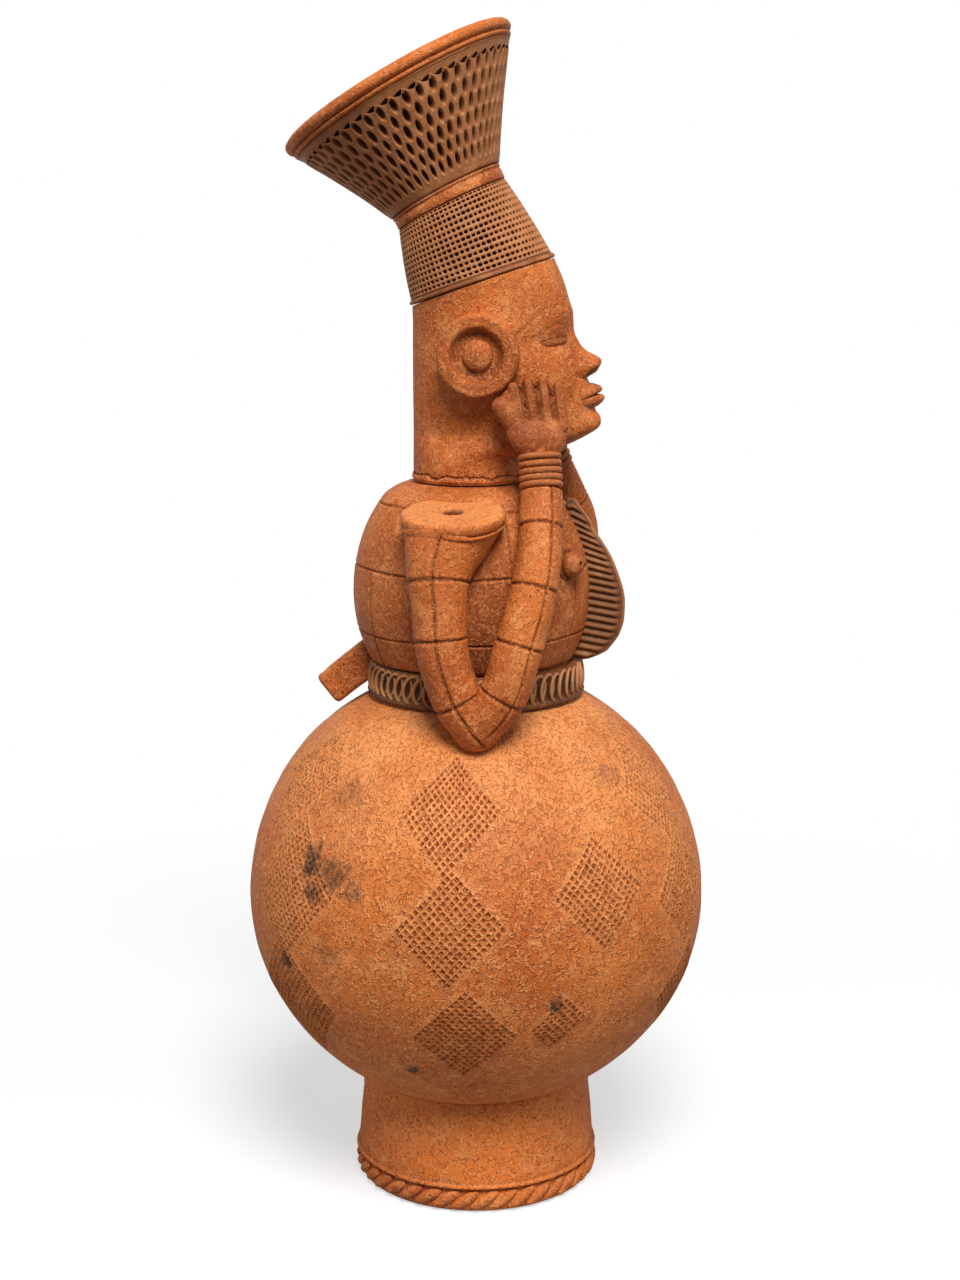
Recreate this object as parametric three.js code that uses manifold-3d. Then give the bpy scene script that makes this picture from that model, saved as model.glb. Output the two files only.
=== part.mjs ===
// A tall clay jar: a round vessel on a foot ring, with a figure's torso, arms, head and flaring coiffure
// as its neck. Millimetres, +Z up, the origin at the centre of the face the foot rests on.
// The figure looks along -Y. Its left side is +X and its right side is -X.
import * as THREE from 'three';
import { ParametricGeometry } from 'three/addons/geometries/ParametricGeometry.js';
import { mergeVertices } from 'three/addons/utils/BufferGeometryUtils.js';
import Module from 'manifold-3d';

const wasm = await Module();
wasm.setup();

// Clearance between pieces that touch
const jointGap = 0.3;

// Foot ring and the twisted rope round its base
const footHeight = 39.1;          // resting face up to the edge where the belly sits
const footTopRadius = 40.8;
const footLipRadius = 43.9;
const footWall = 6.5;
const footLipHeight = 2.6;
const ropeHeight = 8.2;
const ropeThickness = 4.6;
const ropeSeatRadius = 40;        // foot's outer radius behind the rope
const ropeLobes = 38;
const ropeLobeDepth = 1.1;

// Belly
const bellyRadius = 80.8;
const bellyRise = 80;             // widest height up to where the upper curve closes
const bellyDrop = 77.1;           // widest height down to the underside
const bellyWall = 6;
const bellyNeckRadius = 33;
const bellyNeckHeight = 11.1;
// Diamond-shaped fields of punched pits, sunk by the pits' mean depth
const fieldWidth = 34.8;
const fieldHeight = 36;
const fieldDepth = 1;
const fieldLevels = [44.9, 10.4, -26.7];   // a column's three fields, above the belly's widest place
// Columns: degrees from the front toward the figure's right, and degrees that each level is shifted from the next
const fieldColumns = [[18, 0], [86, 2], [132, 6], [186, -3], [228, -6], [274, -2], [336, 3]];
// Fields outside the columns: degrees, height above the widest place, and size as a share of the others
const loneFields = [[48, 17.4, 0.88], [58, -24.2, 0.53], [302, -24.2, 0.53], [312, 17.4, 0.88]];

// Waist belt of small loops
const beltHeight = 12.6;
const beltThickness = 5.2;
const beltLoops = 56;
const beltLoopDepth = 0.7;

// Torso
const torsoForward = -1.4;        // torso axis in front of the belly axis
const torsoRadius = 41.6;
const torsoRise = 48.7;           // widest height up to where the upper curve closes
const torsoDrop = 45.2;           // widest height down to where the lower curve closes
const torsoFootRadius = 35.5;
const torsoShoulderRadius = 30.5;
const torsoTopRadius = 20.5;      // flat seat of the neck
const torsoTopRise = 5;           // shoulder edge up to that seat
const torsoWall = 5;

// Neck and head
const neckForward = -2.3;
const neckRadius = 19.4;
const neckWall = 5;
const napeHeight = 58.8;          // neck seat up to the back of the hairline
const hairlineDepth = 51;         // back to front along the hairline
const hairlineWidth = 44.4;
const hairlineTilt = THREE.MathUtils.degToRad(18.7);
const faceHeight = 61;            // hairline down to the chin
const faceLean = THREE.MathUtils.degToRad(14.5);
const jawShare = 0.88;            // jaw's width as a share of the hairline's
const chinReach = 1.4;            // how far each feature stands out of the face's plane
const mouthReach = 1.6;
const cheekReach = 0.6;
const browReach = 2;
const throatDepth = 13;           // underside of the jaw behind the face's plane
const browDown = 1 / 3;           // places of the features as shares of the way from hairline to chin
const eyesDown = 0.42;
const noseDown = 2 / 3;
const mouthDown = 0.78;
const eyeWidth = 9.6;
const lidHeight = 6.2;
const lidDepth = 5;
const eyeInset = 2.8;             // middle of the lids behind the front of the face
const noseWidth = 9.4;
const noseReach = 6.4;
const mouthWidth = 14.6;
const lipHeight = 3.9;
const lipReach = 3.4;

// Ear ornaments
const earRadius = 14;
const earThickness = 7.6;
const earDishRadius = 8.4;
const earDishDepth = 3;
const earBossRadius = 4.6;
const earForward = 4.9;
const earDrop = 14.8;             // back of the hairline down to the middle of the ear
const earSide = 19.6;

// Coiffure: perforated band, collar, funnel and rim, leaning back
const bandLength = 27.3;
const bandLean = THREE.MathUtils.degToRad(22.5);
const bandOverhang = 0.7;         // how far the band stands out over the head
const bandTopRadius = 20.2;
const bandTopTilt = THREE.MathUtils.degToRad(26);
const bandLipHeight = 3;
const bandLipStep = 0.7;
const bandSwell = 0.5;            // how far the middle of the band bulges
const collarLength = 4.6;
const collarRadius = 20.9;
const funnelLength = 33.6;
const funnelLean = THREE.MathUtils.degToRad(25);
const funnelFootRadius = 20.8;
const funnelMouthRadius = 41;
const funnelTilt = THREE.MathUtils.degToRad(30);
const funnelFlare = 1.12;         // above 1 the wall is hollow, like a bell
const coiffureWall = 4.6;
const rimHeight = 5.6;
const rimRadius = 43.1;
const pitRows = 5;
const pitsPerRow = 24;
const pitLength = 6.4;
const pitWidth = 3.1;
const pitDepth = 2.9;

// Shoulders, arms and hands
const capForward = -1;
const capSide = 38;
const capBelowTorsoTop = 5.5;     // neck seat down to the middle of the cap's top face
const capRadius = 17.5;
const capThickness = 4.4;
const capTilt = THREE.MathUtils.degToRad(9);
const ventRadius = 3.4;
const elbowForward = 8.6;
const elbowSide = 48.5;
const elbowPress = 1.4;           // how far the elbow is pressed onto the belly's shoulder
const elbowRadius = 8.4;
const upperArmRadius = 9.9;
const armFlareShare = 0.45;       // share of the arm over which it widens to the cap
const armCavityRadius = 4.6;
// Courses of the arm: forward, outside the torso's widest radius, share of the height from elbow to cap
const upperArmCourse = [
  [-3.2, 1.6, 0.88],
  [-4.2, 5, 0.76],
  [-3.6, 7, 0.62],
  [-2.6, 8.4, 0.42],
  [-0.2, 8.6, 0.26],
  [3.4, 8, 0.12],
];
const forearmCourse = [
  [17.7, 7.6, 0.17],
  [22.3, 5.6, 0.4],
  [26.5, 0.6, 0.675],
  [27.7, -4.9, 0.87],
  [27.6, -9.4, 1],
  [26.9, -14.4, 1.16],
];
const forearmRadius = 8.2;
const wristRadius = 7.1;
const wristForward = 25.6;
const wristSide = 24.5;
const wristAboveTorsoTop = 12.6;
const leftArmBow = 3.2;           // how much further forward the middle of the left forearm swings
const leftWristBack = 6.3;        // how much further back the left wrist lies
const braceletCoils = 5;
const braceletWire = 2.05;
const braceletSeatRadius = 5;
const fingerLength = 15;
const fingerRadius = 2.3;
const palmWidth = 19;
const palmHeight = 19;
const palmThickness = 8.4;
const thumbLength = 13;
const thumbRadius = 2.9;
const thumbSpread = THREE.MathUtils.degToRad(52);
const handLean = THREE.MathUtils.degToRad(9);
const handYaw = THREE.MathUtils.degToRad(20);

// Chest crest, nipples and the slab at the back of the waist
const crestReach = 11.6;          // how far it stands out from the torso
const crestTop = 32;              // torso's widest height up to the top end
const crestBottom = 28;           // torso's widest height down to the lower end
const crestThickness = 3.2;
const crestRibs = 22;
const crestRibThickness = 5.4;
const crestRibHeight = 1.5;
const crestRibShare = 0.86;       // ribs stop short of the crest's smooth edge
const crestDroop = THREE.MathUtils.degToRad(15);
// Crest's edge: height above the torso's widest place, share of its full reach
const crestEdge = [
  [crestTop, 0.05],
  [24, 0.52],
  [11.5, 0.74],
  [-2, 0.96],
  [-10, 1],
  [-18, 0.96],
  [-24, 0.84],
  [-crestBottom, 0.5],
];
const nippleRadius = 4.8;
const nippleAngle = THREE.MathUtils.degToRad(27);
const nippleAboveWidest = 12.5;
const nippleReach = 6;
const nippleHoleRadius = 0.9;
const slabLength = 30;
const slabHeight = 12.5;
const slabWidth = 19;
const slabReach = 15;             // how far its outer end stands out behind the torso's foot
const slabDrop = 13.2;            // torso's foot down to the middle of that end
const slabDroop = THREE.MathUtils.degToRad(39);

// Heights that follow from the sizes above
const bellyCentre = footHeight + bellyDrop * Math.sqrt(1 - (footTopRadius / bellyRadius) ** 2);
const bellyShoulder = bellyCentre + bellyRise * Math.sqrt(1 - (bellyNeckRadius / bellyRadius) ** 2);
const bellyNeckTop = bellyShoulder + bellyNeckHeight;
const torsoBase = bellyNeckTop + jointGap;
const torsoCentre = torsoBase + torsoDrop * Math.sqrt(1 - (torsoFootRadius / torsoRadius) ** 2);
const torsoShoulder = torsoCentre + torsoRise * Math.sqrt(1 - (torsoShoulderRadius / torsoRadius) ** 2);
const torsoTop = torsoShoulder + torsoTopRise;
const neckSeat = torsoTop + jointGap;

// Facets round each kind of piece
const bodySides = 32;
const bellySides = 40;
const headSides = 28;
const limbSides = 12;
const bellySteps = 9;
const torsoSteps = 3;

const orangeClay = new THREE.MeshStandardMaterial({ color: '#b8682f', roughness: 0.62, metalness: 0 });
const brownClay = new THREE.MeshStandardMaterial({ color: '#8a4f2a', roughness: 0.68, metalness: 0 });
const darkClay = new THREE.MeshStandardMaterial({ color: '#60402a', roughness: 0.72, metalness: 0 });

const jar = new THREE.Group();

// A point given as forward of the axis, toward the figure's left, and up.
function place(forward, side, up) {
  return new THREE.Vector3(side, -forward, up);
}

// A geometry as a solid, its doubled corners merged and its empty triangles left out.
function solidOf(geometry) {
  const bare = geometry.clone();
  bare.deleteAttribute('normal');
  bare.deleteAttribute('uv');
  const merged = mergeVertices(bare);
  const corners = merged.index.array;
  const triangles = [];
  for (let first = 0; first < corners.length; first += 3) {
    const [a, b, c] = corners.slice(first, first + 3);
    if (a !== b && b !== c && c !== a) triangles.push(a, b, c);
  }
  return new wasm.Manifold(new wasm.Mesh({
    numProp: 3,
    vertProperties: merged.attributes.position.array,
    triVerts: new Uint32Array(triangles),
  }));
}

function geometryOf(solid) {
  const mesh = solid.getMesh();
  const geometry = new THREE.BufferGeometry();
  geometry.setAttribute('position', new THREE.BufferAttribute(mesh.vertProperties, 3));
  geometry.setIndex(new THREE.BufferAttribute(mesh.triVerts, 1));
  geometry.computeVertexNormals();
  return geometry;
}

// The same geometry on the figure's other side, its faces still pointing out.
function mirrored(geometry) {
  const copy = geometry.clone().scale(-1, 1, 1);
  const corners = copy.index.array;
  for (let first = 0; first < corners.length; first += 3) {
    [corners[first], corners[first + 1]] = [corners[first + 1], corners[first]];
  }
  return copy;
}

function addPiece(name, solid, material) {
  const mesh = new THREE.Mesh(geometryOf(solid), material);
  mesh.name = name;
  jar.add(mesh);
}

// Adds a piece made for the left side, and its mirror image on the right.
function addPair(name, solid, material) {
  addPiece(`${name}_left`, solid, material);
  addPiece(`${name}_right`, solidOf(mirrored(geometryOf(solid))), material);
}

// Turns a closed outline of (radius, height) points about an upright axis.
function turned(outline, sides, forward = 0) {
  const points = outline.map(([radius, up]) => new THREE.Vector2(radius, up));
  const geometry = new THREE.LatheGeometry(points, sides);
  geometry.rotateX(Math.PI / 2);
  geometry.translate(0, -forward, 0);
  return geometry;
}

// Points of an arc made of two half ellipses, from one angle to another, the widest place at angle 0.
function arcPoints(radius, rise, drop, centre, from, to, steps) {
  const points = [];
  for (let step = 0; step <= steps; step += 1) {
    const angle = from + (to - from) * step / steps;
    const climb = Math.sin(angle) > 0 ? rise : drop;
    points.push([radius * Math.cos(angle), centre + climb * Math.sin(angle)]);
  }
  return points;
}

// A tilted oval ring. A positive tilt lifts its front, and narrowing pinches its front like a chin.
function ovalRing(forward, up, depth, width, tilt, narrowing = 0) {
  return { forward, up, depth, width, tilt, narrowing };
}

// A point of a ring: angle 0 is its front, a quarter turn is the figure's left.
function ringPoint(ring, angle) {
  const reach = ring.depth * Math.cos(angle);
  const side = ring.width * Math.sin(angle) * (1 - ring.narrowing * (1 + Math.cos(angle)) / 2);
  return place(ring.forward + reach * Math.cos(ring.tilt), side, ring.up + reach * Math.sin(ring.tilt));
}

function raised(ring, distance, lean = ring.tilt) {
  return {
    ...ring,
    forward: ring.forward - distance * Math.sin(lean),
    up: ring.up + distance * Math.cos(lean),
  };
}

function grown(ring, distance) {
  return { ...ring, depth: ring.depth + distance, width: ring.width + distance };
}

function shrunkToPoint(ring) {
  return { ...ring, depth: 0, width: 0 };
}

// The surface through a row of rings. It closes where the first ring is also the last, or at points.
function loft(rings, sides) {
  const last = rings.length - 1;
  return new ParametricGeometry((u, v, target) => {
    target.copy(ringPoint(rings[Math.round(v * last)], (u % 1) * 2 * Math.PI));
  }, sides, last);
}

function hollowLoft(outerRings, innerRings, sides) {
  return loft([...outerRings, ...innerRings.toReversed(), outerRings[0]], sides);
}

function filledLoft(rings, sides) {
  return loft([shrunkToPoint(rings[0]), ...rings, shrunkToPoint(rings.at(-1))], sides);
}

// A round tube along a curve, through stations that each give a share of the curve and a radius.
// With a start normal, the first half of the tube turns gradually from that normal to the curve.
function tube(curve, stations, sides, startNormal = null) {
  const sideAxis = new THREE.Vector3(1, 0, 0);
  const rings = stations.map(([share, radius]) => {
    const normal = curve.getTangentAt(share);
    if (startNormal) normal.lerp(startNormal, Math.max(0, 1 - 2 * share)).normalize();
    const across = sideAxis.clone().addScaledVector(normal, -sideAxis.dot(normal)).normalize();
    const along = new THREE.Vector3().crossVectors(normal, across);
    return { centre: curve.getPointAt(share), across, along, radius };
  });
  const last = rings.length - 1;
  return new ParametricGeometry((u, v, target) => {
    const ring = rings[Math.round(v * last)];
    const angle = (u % 1) * 2 * Math.PI;
    target.copy(ring.centre);
    target.addScaledVector(ring.across, ring.radius * Math.cos(angle));
    target.addScaledVector(ring.along, ring.radius * Math.sin(angle));
  }, sides, last);
}

// Lays a flat outline of (forward, up) points in the middle plane, as thick as asked.
function middlePlate(outline, thickness) {
  const shape = new THREE.Shape(outline.map(([forward, up]) => new THREE.Vector2(forward, up)));
  const geometry = new THREE.ExtrudeGeometry(shape, { depth: thickness, bevelEnabled: false });
  geometry.translate(0, 0, -thickness / 2);
  const forwardAxis = new THREE.Vector3(0, -1, 0);
  const upAxis = new THREE.Vector3(0, 0, 1);
  const sideAxis = new THREE.Vector3(-1, 0, 0);
  geometry.applyMatrix4(new THREE.Matrix4().makeBasis(forwardAxis, upAxis, sideAxis));
  return geometry;
}

// An oval lump with half sizes across, deep and high, placed and turned as asked.
function lump(halfSizes, position, turn = new THREE.Euler()) {
  const geometry = new THREE.SphereGeometry(1, 10, 6);
  const matrix = new THREE.Matrix4().compose(position, new THREE.Quaternion().setFromEuler(turn), halfSizes);
  return geometry.applyMatrix4(matrix);
}

// Angle on a half ellipse where its radius is the one given
function arcAngle(radius, widest) {
  return Math.acos(radius / widest);
}

function bellyOutline(inset, neckInset) {
  const neckRadius = bellyNeckRadius - neckInset;
  const radius = bellyRadius - inset;
  const rise = bellyRise - inset;
  const drop = bellyDrop - inset;
  return [
    ...arcPoints(radius, rise, drop, bellyCentre, -Math.PI / 2, 0, bellySteps),
    ...arcPoints(radius, rise, drop, bellyCentre, 0, arcAngle(neckRadius, radius), bellySteps).slice(1),
    [neckRadius, bellyNeckTop],
  ];
}

// The belly's outer shape with its clearance, for cutting what rests on it.
// Its neck reaches into the torso's foot.
const bellyFilled = solidOf(turned([
  ...bellyOutline(-jointGap, -jointGap),
  [bellyNeckRadius + jointGap, torsoBase + jointGap],
  [0, torsoBase + jointGap],
], bellySides));

// The torso's outline from its foot to its neck seat, each face moved inward by the inset.
function torsoOutline(inset, seatInset) {
  const radius = torsoRadius - inset;
  const rise = torsoRise - inset;
  const drop = torsoDrop - inset;
  const lowAngle = -arcAngle(torsoFootRadius - inset, radius);
  const highAngle = arcAngle(torsoShoulderRadius - inset, radius);
  return [
    ...arcPoints(radius, rise, drop, torsoCentre, lowAngle, 0, torsoSteps),
    ...arcPoints(radius, rise, drop, torsoCentre, 0, highAngle, torsoSteps + 1).slice(1),
    [torsoTopRadius - inset, torsoTop - seatInset],
  ];
}

const torsoFilled = solidOf(turned([
  [0, torsoBase],
  ...torsoOutline(-jointGap, -jointGap),
  [0, torsoTop + jointGap],
], bodySides, torsoForward));

// Closed ring whose outer side swells into leaning lobes
function lobedRing(innerRadius, thickness, height, base, lobes, lobeDepth) {
  const sectionPoints = 5;
  const middle = innerRadius + thickness / 2;
  return new ParametricGeometry((u, v, target) => {
    const around = (u % 1) * 2 * Math.PI;
    const section = (v % 1) * 2 * Math.PI;
    const outward = Math.max(0, Math.cos(section));
    const swell = lobeDepth * outward * Math.cos(lobes * around + section);
    const radius = middle + (thickness / 2 - lobeDepth * outward) * Math.cos(section) + swell;
    const up = base + height / 2 + height / 2 * Math.sin(section);
    target.set(radius * Math.sin(around), -radius * Math.cos(around), up);
  }, lobes * 2, sectionPoints);
}

function buildFoot() {
  const lipBase = ropeHeight + jointGap;
  const lipTop = lipBase + footLipHeight;
  const waistHeight = footHeight * 0.72;
  const ringTop = footHeight + footWall;
  const ring = solidOf(turned([
    [ropeSeatRadius - footWall, 0],
    [ropeSeatRadius, 0],
    [ropeSeatRadius, lipBase],
    [footLipRadius - footLipHeight / 4, lipBase],
    [footLipRadius, lipBase + footLipHeight / 3],
    [footLipRadius - footLipHeight / 4, lipTop],
    [(footLipRadius + footTopRadius) / 2, (lipTop + waistHeight) / 2],
    [footTopRadius, waistHeight],
    [footTopRadius, ringTop],
    [footTopRadius - footWall, ringTop],
    [ropeSeatRadius - footWall, 0],
  ], bodySides));
  addPiece('foot_ring', ring.subtract(bellyFilled), orangeClay);

  const rope = lobedRing(ropeSeatRadius + jointGap, ropeThickness, ropeHeight, 0, ropeLobes, ropeLobeDepth);
  addPiece('foot_rope', solidOf(rope), orangeClay);
}

// A diamond prism that stands through the belly's wall
function fieldPrism(degrees, up, share) {
  const shape = new THREE.Shape([[1, 0], [0, 1], [-1, 0], [0, -1]].map(([across, along]) => (
    new THREE.Vector2(across * share * fieldWidth / 2, along * share * fieldHeight / 2)
  )));
  const prism = new THREE.ExtrudeGeometry(shape, { depth: bellyRadius / 2, bevelEnabled: false });
  prism.translate(0, 0, bellyRadius * 0.75).rotateX(Math.PI / 2);
  prism.rotateX(-Math.asin(up / (up > 0 ? bellyRise : bellyDrop)));
  return solidOf(prism.rotateZ(-THREE.MathUtils.degToRad(degrees)).translate(0, 0, bellyCentre));
}

function buildBelly() {
  const inside = bellyOutline(bellyWall, bellyWall).toReversed();
  const sunken = solidOf(turned([...bellyOutline(fieldDepth, bellyWall), [0, bellyNeckTop]], bellySides));
  let shell = solidOf(turned([...bellyOutline(0, 0), ...inside], bellySides));
  const columns = fieldColumns.flatMap(([degrees, shift]) => (
    fieldLevels.map((up, level) => [degrees + shift * (1 - level), up, 1])
  ));
  for (const field of [...columns, ...loneFields]) {
    shell = shell.subtract(fieldPrism(...field).subtract(sunken));
  }
  addPiece('belly', shell, orangeClay);
}

const beltInner = bellyNeckRadius + jointGap;
const beltEnvelope = solidOf(turned([
  [beltInner - jointGap, torsoBase - beltHeight - jointGap],
  [beltInner + beltThickness + jointGap, torsoBase - beltHeight - jointGap],
  [beltInner + beltThickness + jointGap, torsoBase],
  [beltInner - jointGap, torsoBase],
  [beltInner - jointGap, torsoBase - beltHeight - jointGap],
], bodySides));

function buildBelt() {
  const base = torsoBase - jointGap - beltHeight;
  const belt = solidOf(lobedRing(beltInner, beltThickness, beltHeight, base, beltLoops, beltLoopDepth));
  addPiece('waist_belt', belt.subtract(bellyFilled).subtract(torsoFilled), darkClay);
}

function buildTorso() {
  const inside = torsoOutline(torsoWall, torsoWall).toReversed();
  const seatHole = neckRadius - neckWall;
  const outline = [
    ...torsoOutline(0, 0),
    [seatHole, torsoTop],
    [seatHole, torsoTop - torsoWall],
    ...inside.slice(1),
    [torsoFootRadius - torsoWall, torsoBase],
    [torsoFootRadius, torsoBase],
  ];
  addPiece('torso', solidOf(turned(outline, bodySides, torsoForward)), orangeClay);
}

// The hairline ring and, below it, the rings of the face and neck.
const napeForward = neckForward - neckRadius;
const hairline = ovalRing(
  napeForward + hairlineDepth / 2 * Math.cos(hairlineTilt),
  neckSeat + napeHeight + hairlineDepth / 2 * Math.sin(hairlineTilt),
  hairlineDepth / 2,
  hairlineWidth / 2,
  hairlineTilt,
);
const hairlineFront = [napeForward + hairlineDepth * Math.cos(hairlineTilt),
  neckSeat + napeHeight + hairlineDepth * Math.sin(hairlineTilt)];

// A point in the face's own frame: down from the hairline, out of the face, toward the figure's left.
function facePoint(down, out, side) {
  return place(
    hairlineFront[0] + down * Math.sin(faceLean) + out * Math.cos(faceLean),
    side,
    hairlineFront[1] - down * Math.cos(faceLean) + out * Math.sin(faceLean),
  );
}

// A ring from the nape to the face. The share runs from the hairline, 0, to the chin, 1.
function faceRing(share, relief, width, narrowing) {
  const front = facePoint(share * faceHeight, relief, 0);
  const backUp = neckSeat + napeHeight * (1 - share * 0.75);
  const rise = front.z - backUp;
  const run = -front.y - napeForward;
  const depth = Math.hypot(rise, run) / 2;
  const tilt = Math.atan2(rise, run);
  return ovalRing(napeForward + run / 2, backUp + rise / 2, depth, width / 2, tilt, narrowing);
}

const neckFoot = ovalRing(neckForward, neckSeat, neckRadius, neckRadius, 0);
const throat = ovalRing(neckForward, neckSeat + napeHeight * 0.14, neckRadius, neckRadius, 0);
const jawWidth = hairlineWidth * jawShare;
const headRings = [
  neckFoot,
  throat,
  faceRing(1.02, -throatDepth, jawWidth, 0.1),
  faceRing(0.99, chinReach - 3.6, jawWidth, 0.24),
  faceRing(0.93, chinReach, jawWidth, 0.3),
  faceRing(0.86, chinReach - 1, hairlineWidth * 0.9, 0.26),
  faceRing(mouthDown, mouthReach, hairlineWidth * 0.94, 0.2),
  faceRing(noseDown, cheekReach, hairlineWidth * 0.98, 0.14),
  faceRing(0.52, cheekReach, hairlineWidth, 0.12),
  faceRing(eyesDown, 0, hairlineWidth, 0.1),
  faceRing(browDown, browReach, hairlineWidth, 0.06),
  faceRing(browDown / 2, mouthReach, hairlineWidth, 0.03),
  hairline,
];

const headFilled = solidOf(filledLoft(headRings.map((ring) => grown(ring, jointGap)), headSides));

function buildHead() {
  const passageRadius = neckRadius - neckWall;
  const passage = [
    grown(neckFoot, -neckWall),
    grown(throat, -neckWall),
    ovalRing(neckForward, neckSeat + napeHeight / 2, passageRadius, passageRadius, hairlineTilt / 2),
    grown(hairline, -neckWall),
  ];
  addPiece('head', solidOf(hollowLoft(headRings, passage, headSides)), orangeClay);
}

function buildFace() {
  const faceTurn = new THREE.Euler(-faceLean, 0, 0);
  const noseBase = faceHeight * noseDown;
  const bridge = lump(
    new THREE.Vector3(noseWidth * 0.24, noseReach * 0.6, faceHeight * 0.15),
    facePoint(faceHeight * (browDown + noseDown) / 2 + noseWidth / 8, cheekReach, 0), faceTurn,
  );
  const tip = lump(
    new THREE.Vector3(noseWidth * 0.32, noseReach * 0.62, noseWidth * 0.34),
    facePoint(noseBase - noseWidth * 0.36, noseReach * 0.5, 0), faceTurn,
  );
  let nose = solidOf(bridge).add(solidOf(tip));
  for (const side of [-1, 1]) {
    const wing = lump(
      new THREE.Vector3(noseWidth * 0.24, noseReach * 0.5, noseWidth * 0.24),
      facePoint(noseBase - noseWidth * 0.26, noseReach * 0.2, side * noseWidth * 0.27), faceTurn,
    );
    nose = nose.add(solidOf(wing));
  }
  addPiece('nose', nose.subtract(headFilled), orangeClay);

  const mouthAt = faceHeight * mouthDown;
  const lipDrop = (lipHeight + jointGap) / 2;
  const upperSize = new THREE.Vector3(mouthWidth / 2, lipReach, lipHeight / 2);
  const lowerSize = new THREE.Vector3(mouthWidth * 0.44, lipReach, lipHeight / 2);
  const upperLip = lump(upperSize, facePoint(mouthAt - lipDrop, 1, 0), faceTurn);
  const lowerLip = lump(lowerSize, facePoint(mouthAt + lipDrop, 0.8, 0), faceTurn);
  addPiece('upper_lip', solidOf(upperLip).subtract(headFilled), orangeClay);
  addPiece('lower_lip', solidOf(lowerLip).subtract(headFilled), orangeClay);

  const eyeTurn = new THREE.Euler(-faceLean, 0, Math.PI / 7);
  const eyePlace = facePoint(faceHeight * eyesDown, -eyeInset, eyeWidth);
  const eyeSize = new THREE.Vector3(eyeWidth / 2, lidDepth / 2, lidHeight / 2);
  const eye = solidOf(lump(eyeSize, eyePlace, eyeTurn)).subtract(headFilled);
  const slitUp = new THREE.Vector3(0, Math.sin(faceLean), Math.cos(faceLean));
  const slitAt = slitUp.dot(eyePlace);
  const upperLid = eye.trimByPlane(slitUp.toArray(), slitAt + jointGap / 2);
  const lowerLid = eye.trimByPlane(slitUp.clone().negate().toArray(), -slitAt + jointGap / 2);
  addPair('upper_eyelid', upperLid, orangeClay);
  addPair('lower_eyelid', lowerLid, orangeClay);
}

// Lays a turned piece on its side, its axis pointing to the figure's left.
function facingSideways(geometry, position) {
  return geometry.rotateY(Math.PI / 2).translate(position.x, position.y, position.z);
}

const earPlace = place(earForward, earSide, neckSeat + napeHeight - earDrop);

function buildEars() {
  const round = earThickness * 0.3;
  const dishFloor = earThickness - earDishDepth;
  const disc = turned([
    [0, 0],
    [earRadius - round, 0],
    [earRadius, round],
    [earRadius, earThickness - round],
    [earRadius - round, earThickness],
    [earDishRadius + round / 2, earThickness],
    [earDishRadius - round / 2, dishFloor],
    [0, dishFloor],
  ], bodySides * 2 / 3);
  addPair('ear_disc', solidOf(facingSideways(disc, earPlace)).subtract(headFilled), orangeClay);

  const bossBase = dishFloor + jointGap;
  const boss = turned([
    [0, bossBase],
    ...arcPoints(earBossRadius, earDishDepth, 0, bossBase, 0, Math.PI / 2, 4),
  ], limbSides);
  addPair('ear_boss', solidOf(facingSideways(boss, earPlace)), orangeClay);
}

const bandBottom = raised(grown(hairline, bandOverhang), jointGap);
const bandTop = {
  ...raised(bandBottom, bandLength, bandLean), depth: bandTopRadius, width: bandTopRadius, tilt: bandTopTilt,
};
const collarBottom = { ...raised(bandTop, jointGap), depth: collarRadius - 0.5, width: collarRadius - 0.5 };
const collarTop = { ...raised(collarBottom, collarLength), tilt: (bandTopTilt + funnelTilt) / 2 };
const funnelBottom = {
  ...raised(collarTop, jointGap), depth: funnelFootRadius, width: funnelFootRadius,
};

// The funnel's ring at a share of its length
function funnelRing(share) {
  const radius = THREE.MathUtils.lerp(funnelFootRadius, funnelMouthRadius, share ** funnelFlare);
  const tilt = THREE.MathUtils.lerp(funnelBottom.tilt, funnelTilt, share);
  return { ...raised(funnelBottom, funnelLength * share, funnelLean), depth: radius, width: radius, tilt };
}

function buildBand() {
  const lipTop = raised(bandBottom, bandLipHeight, bandLean);
  const middle = {
    ...raised(bandBottom, bandLength / 2, bandLean),
    depth: (bandBottom.depth + bandTop.depth) / 2 + bandSwell,
    width: (bandBottom.width + bandTop.width) / 2 + bandSwell,
    tilt: (bandBottom.tilt + bandTop.tilt) / 2,
  };
  const rings = [bandBottom, lipTop, grown(lipTop, -bandLipStep), middle, bandTop];
  const inside = [bandBottom, middle, bandTop].map((ring) => grown(ring, -coiffureWall));
  addPiece('coiffure_band', solidOf(hollowLoft(rings, inside, headSides)), brownClay);
}

function buildCollar() {
  const middle = { ...raised(collarBottom, collarLength / 2), depth: collarRadius, width: collarRadius };
  const inside = [grown(collarBottom, -coiffureWall), grown(collarTop, -coiffureWall)];
  const collar = hollowLoft([collarBottom, middle, collarTop], inside, headSides);
  addPiece('coiffure_collar', solidOf(collar), orangeClay);
}

// A pointed oval cutter at one place on the funnel's outer wall
function pitCutter(share, angle) {
  const step = 0.01;
  const middle = ringPoint(funnelRing(share), angle);
  const along = ringPoint(funnelRing(share + step), angle).sub(middle).normalize();
  const around = ringPoint(funnelRing(share), angle + step).sub(middle).normalize();
  const outward = new THREE.Vector3().crossVectors(around, along).normalize();
  const size = new THREE.Vector3(pitWidth / 2, pitLength / 2, pitDepth);
  const matrix = new THREE.Matrix4().makeBasis(around, along, outward).scale(size).setPosition(middle);
  return new THREE.OctahedronGeometry(1).applyMatrix4(matrix);
}

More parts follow.
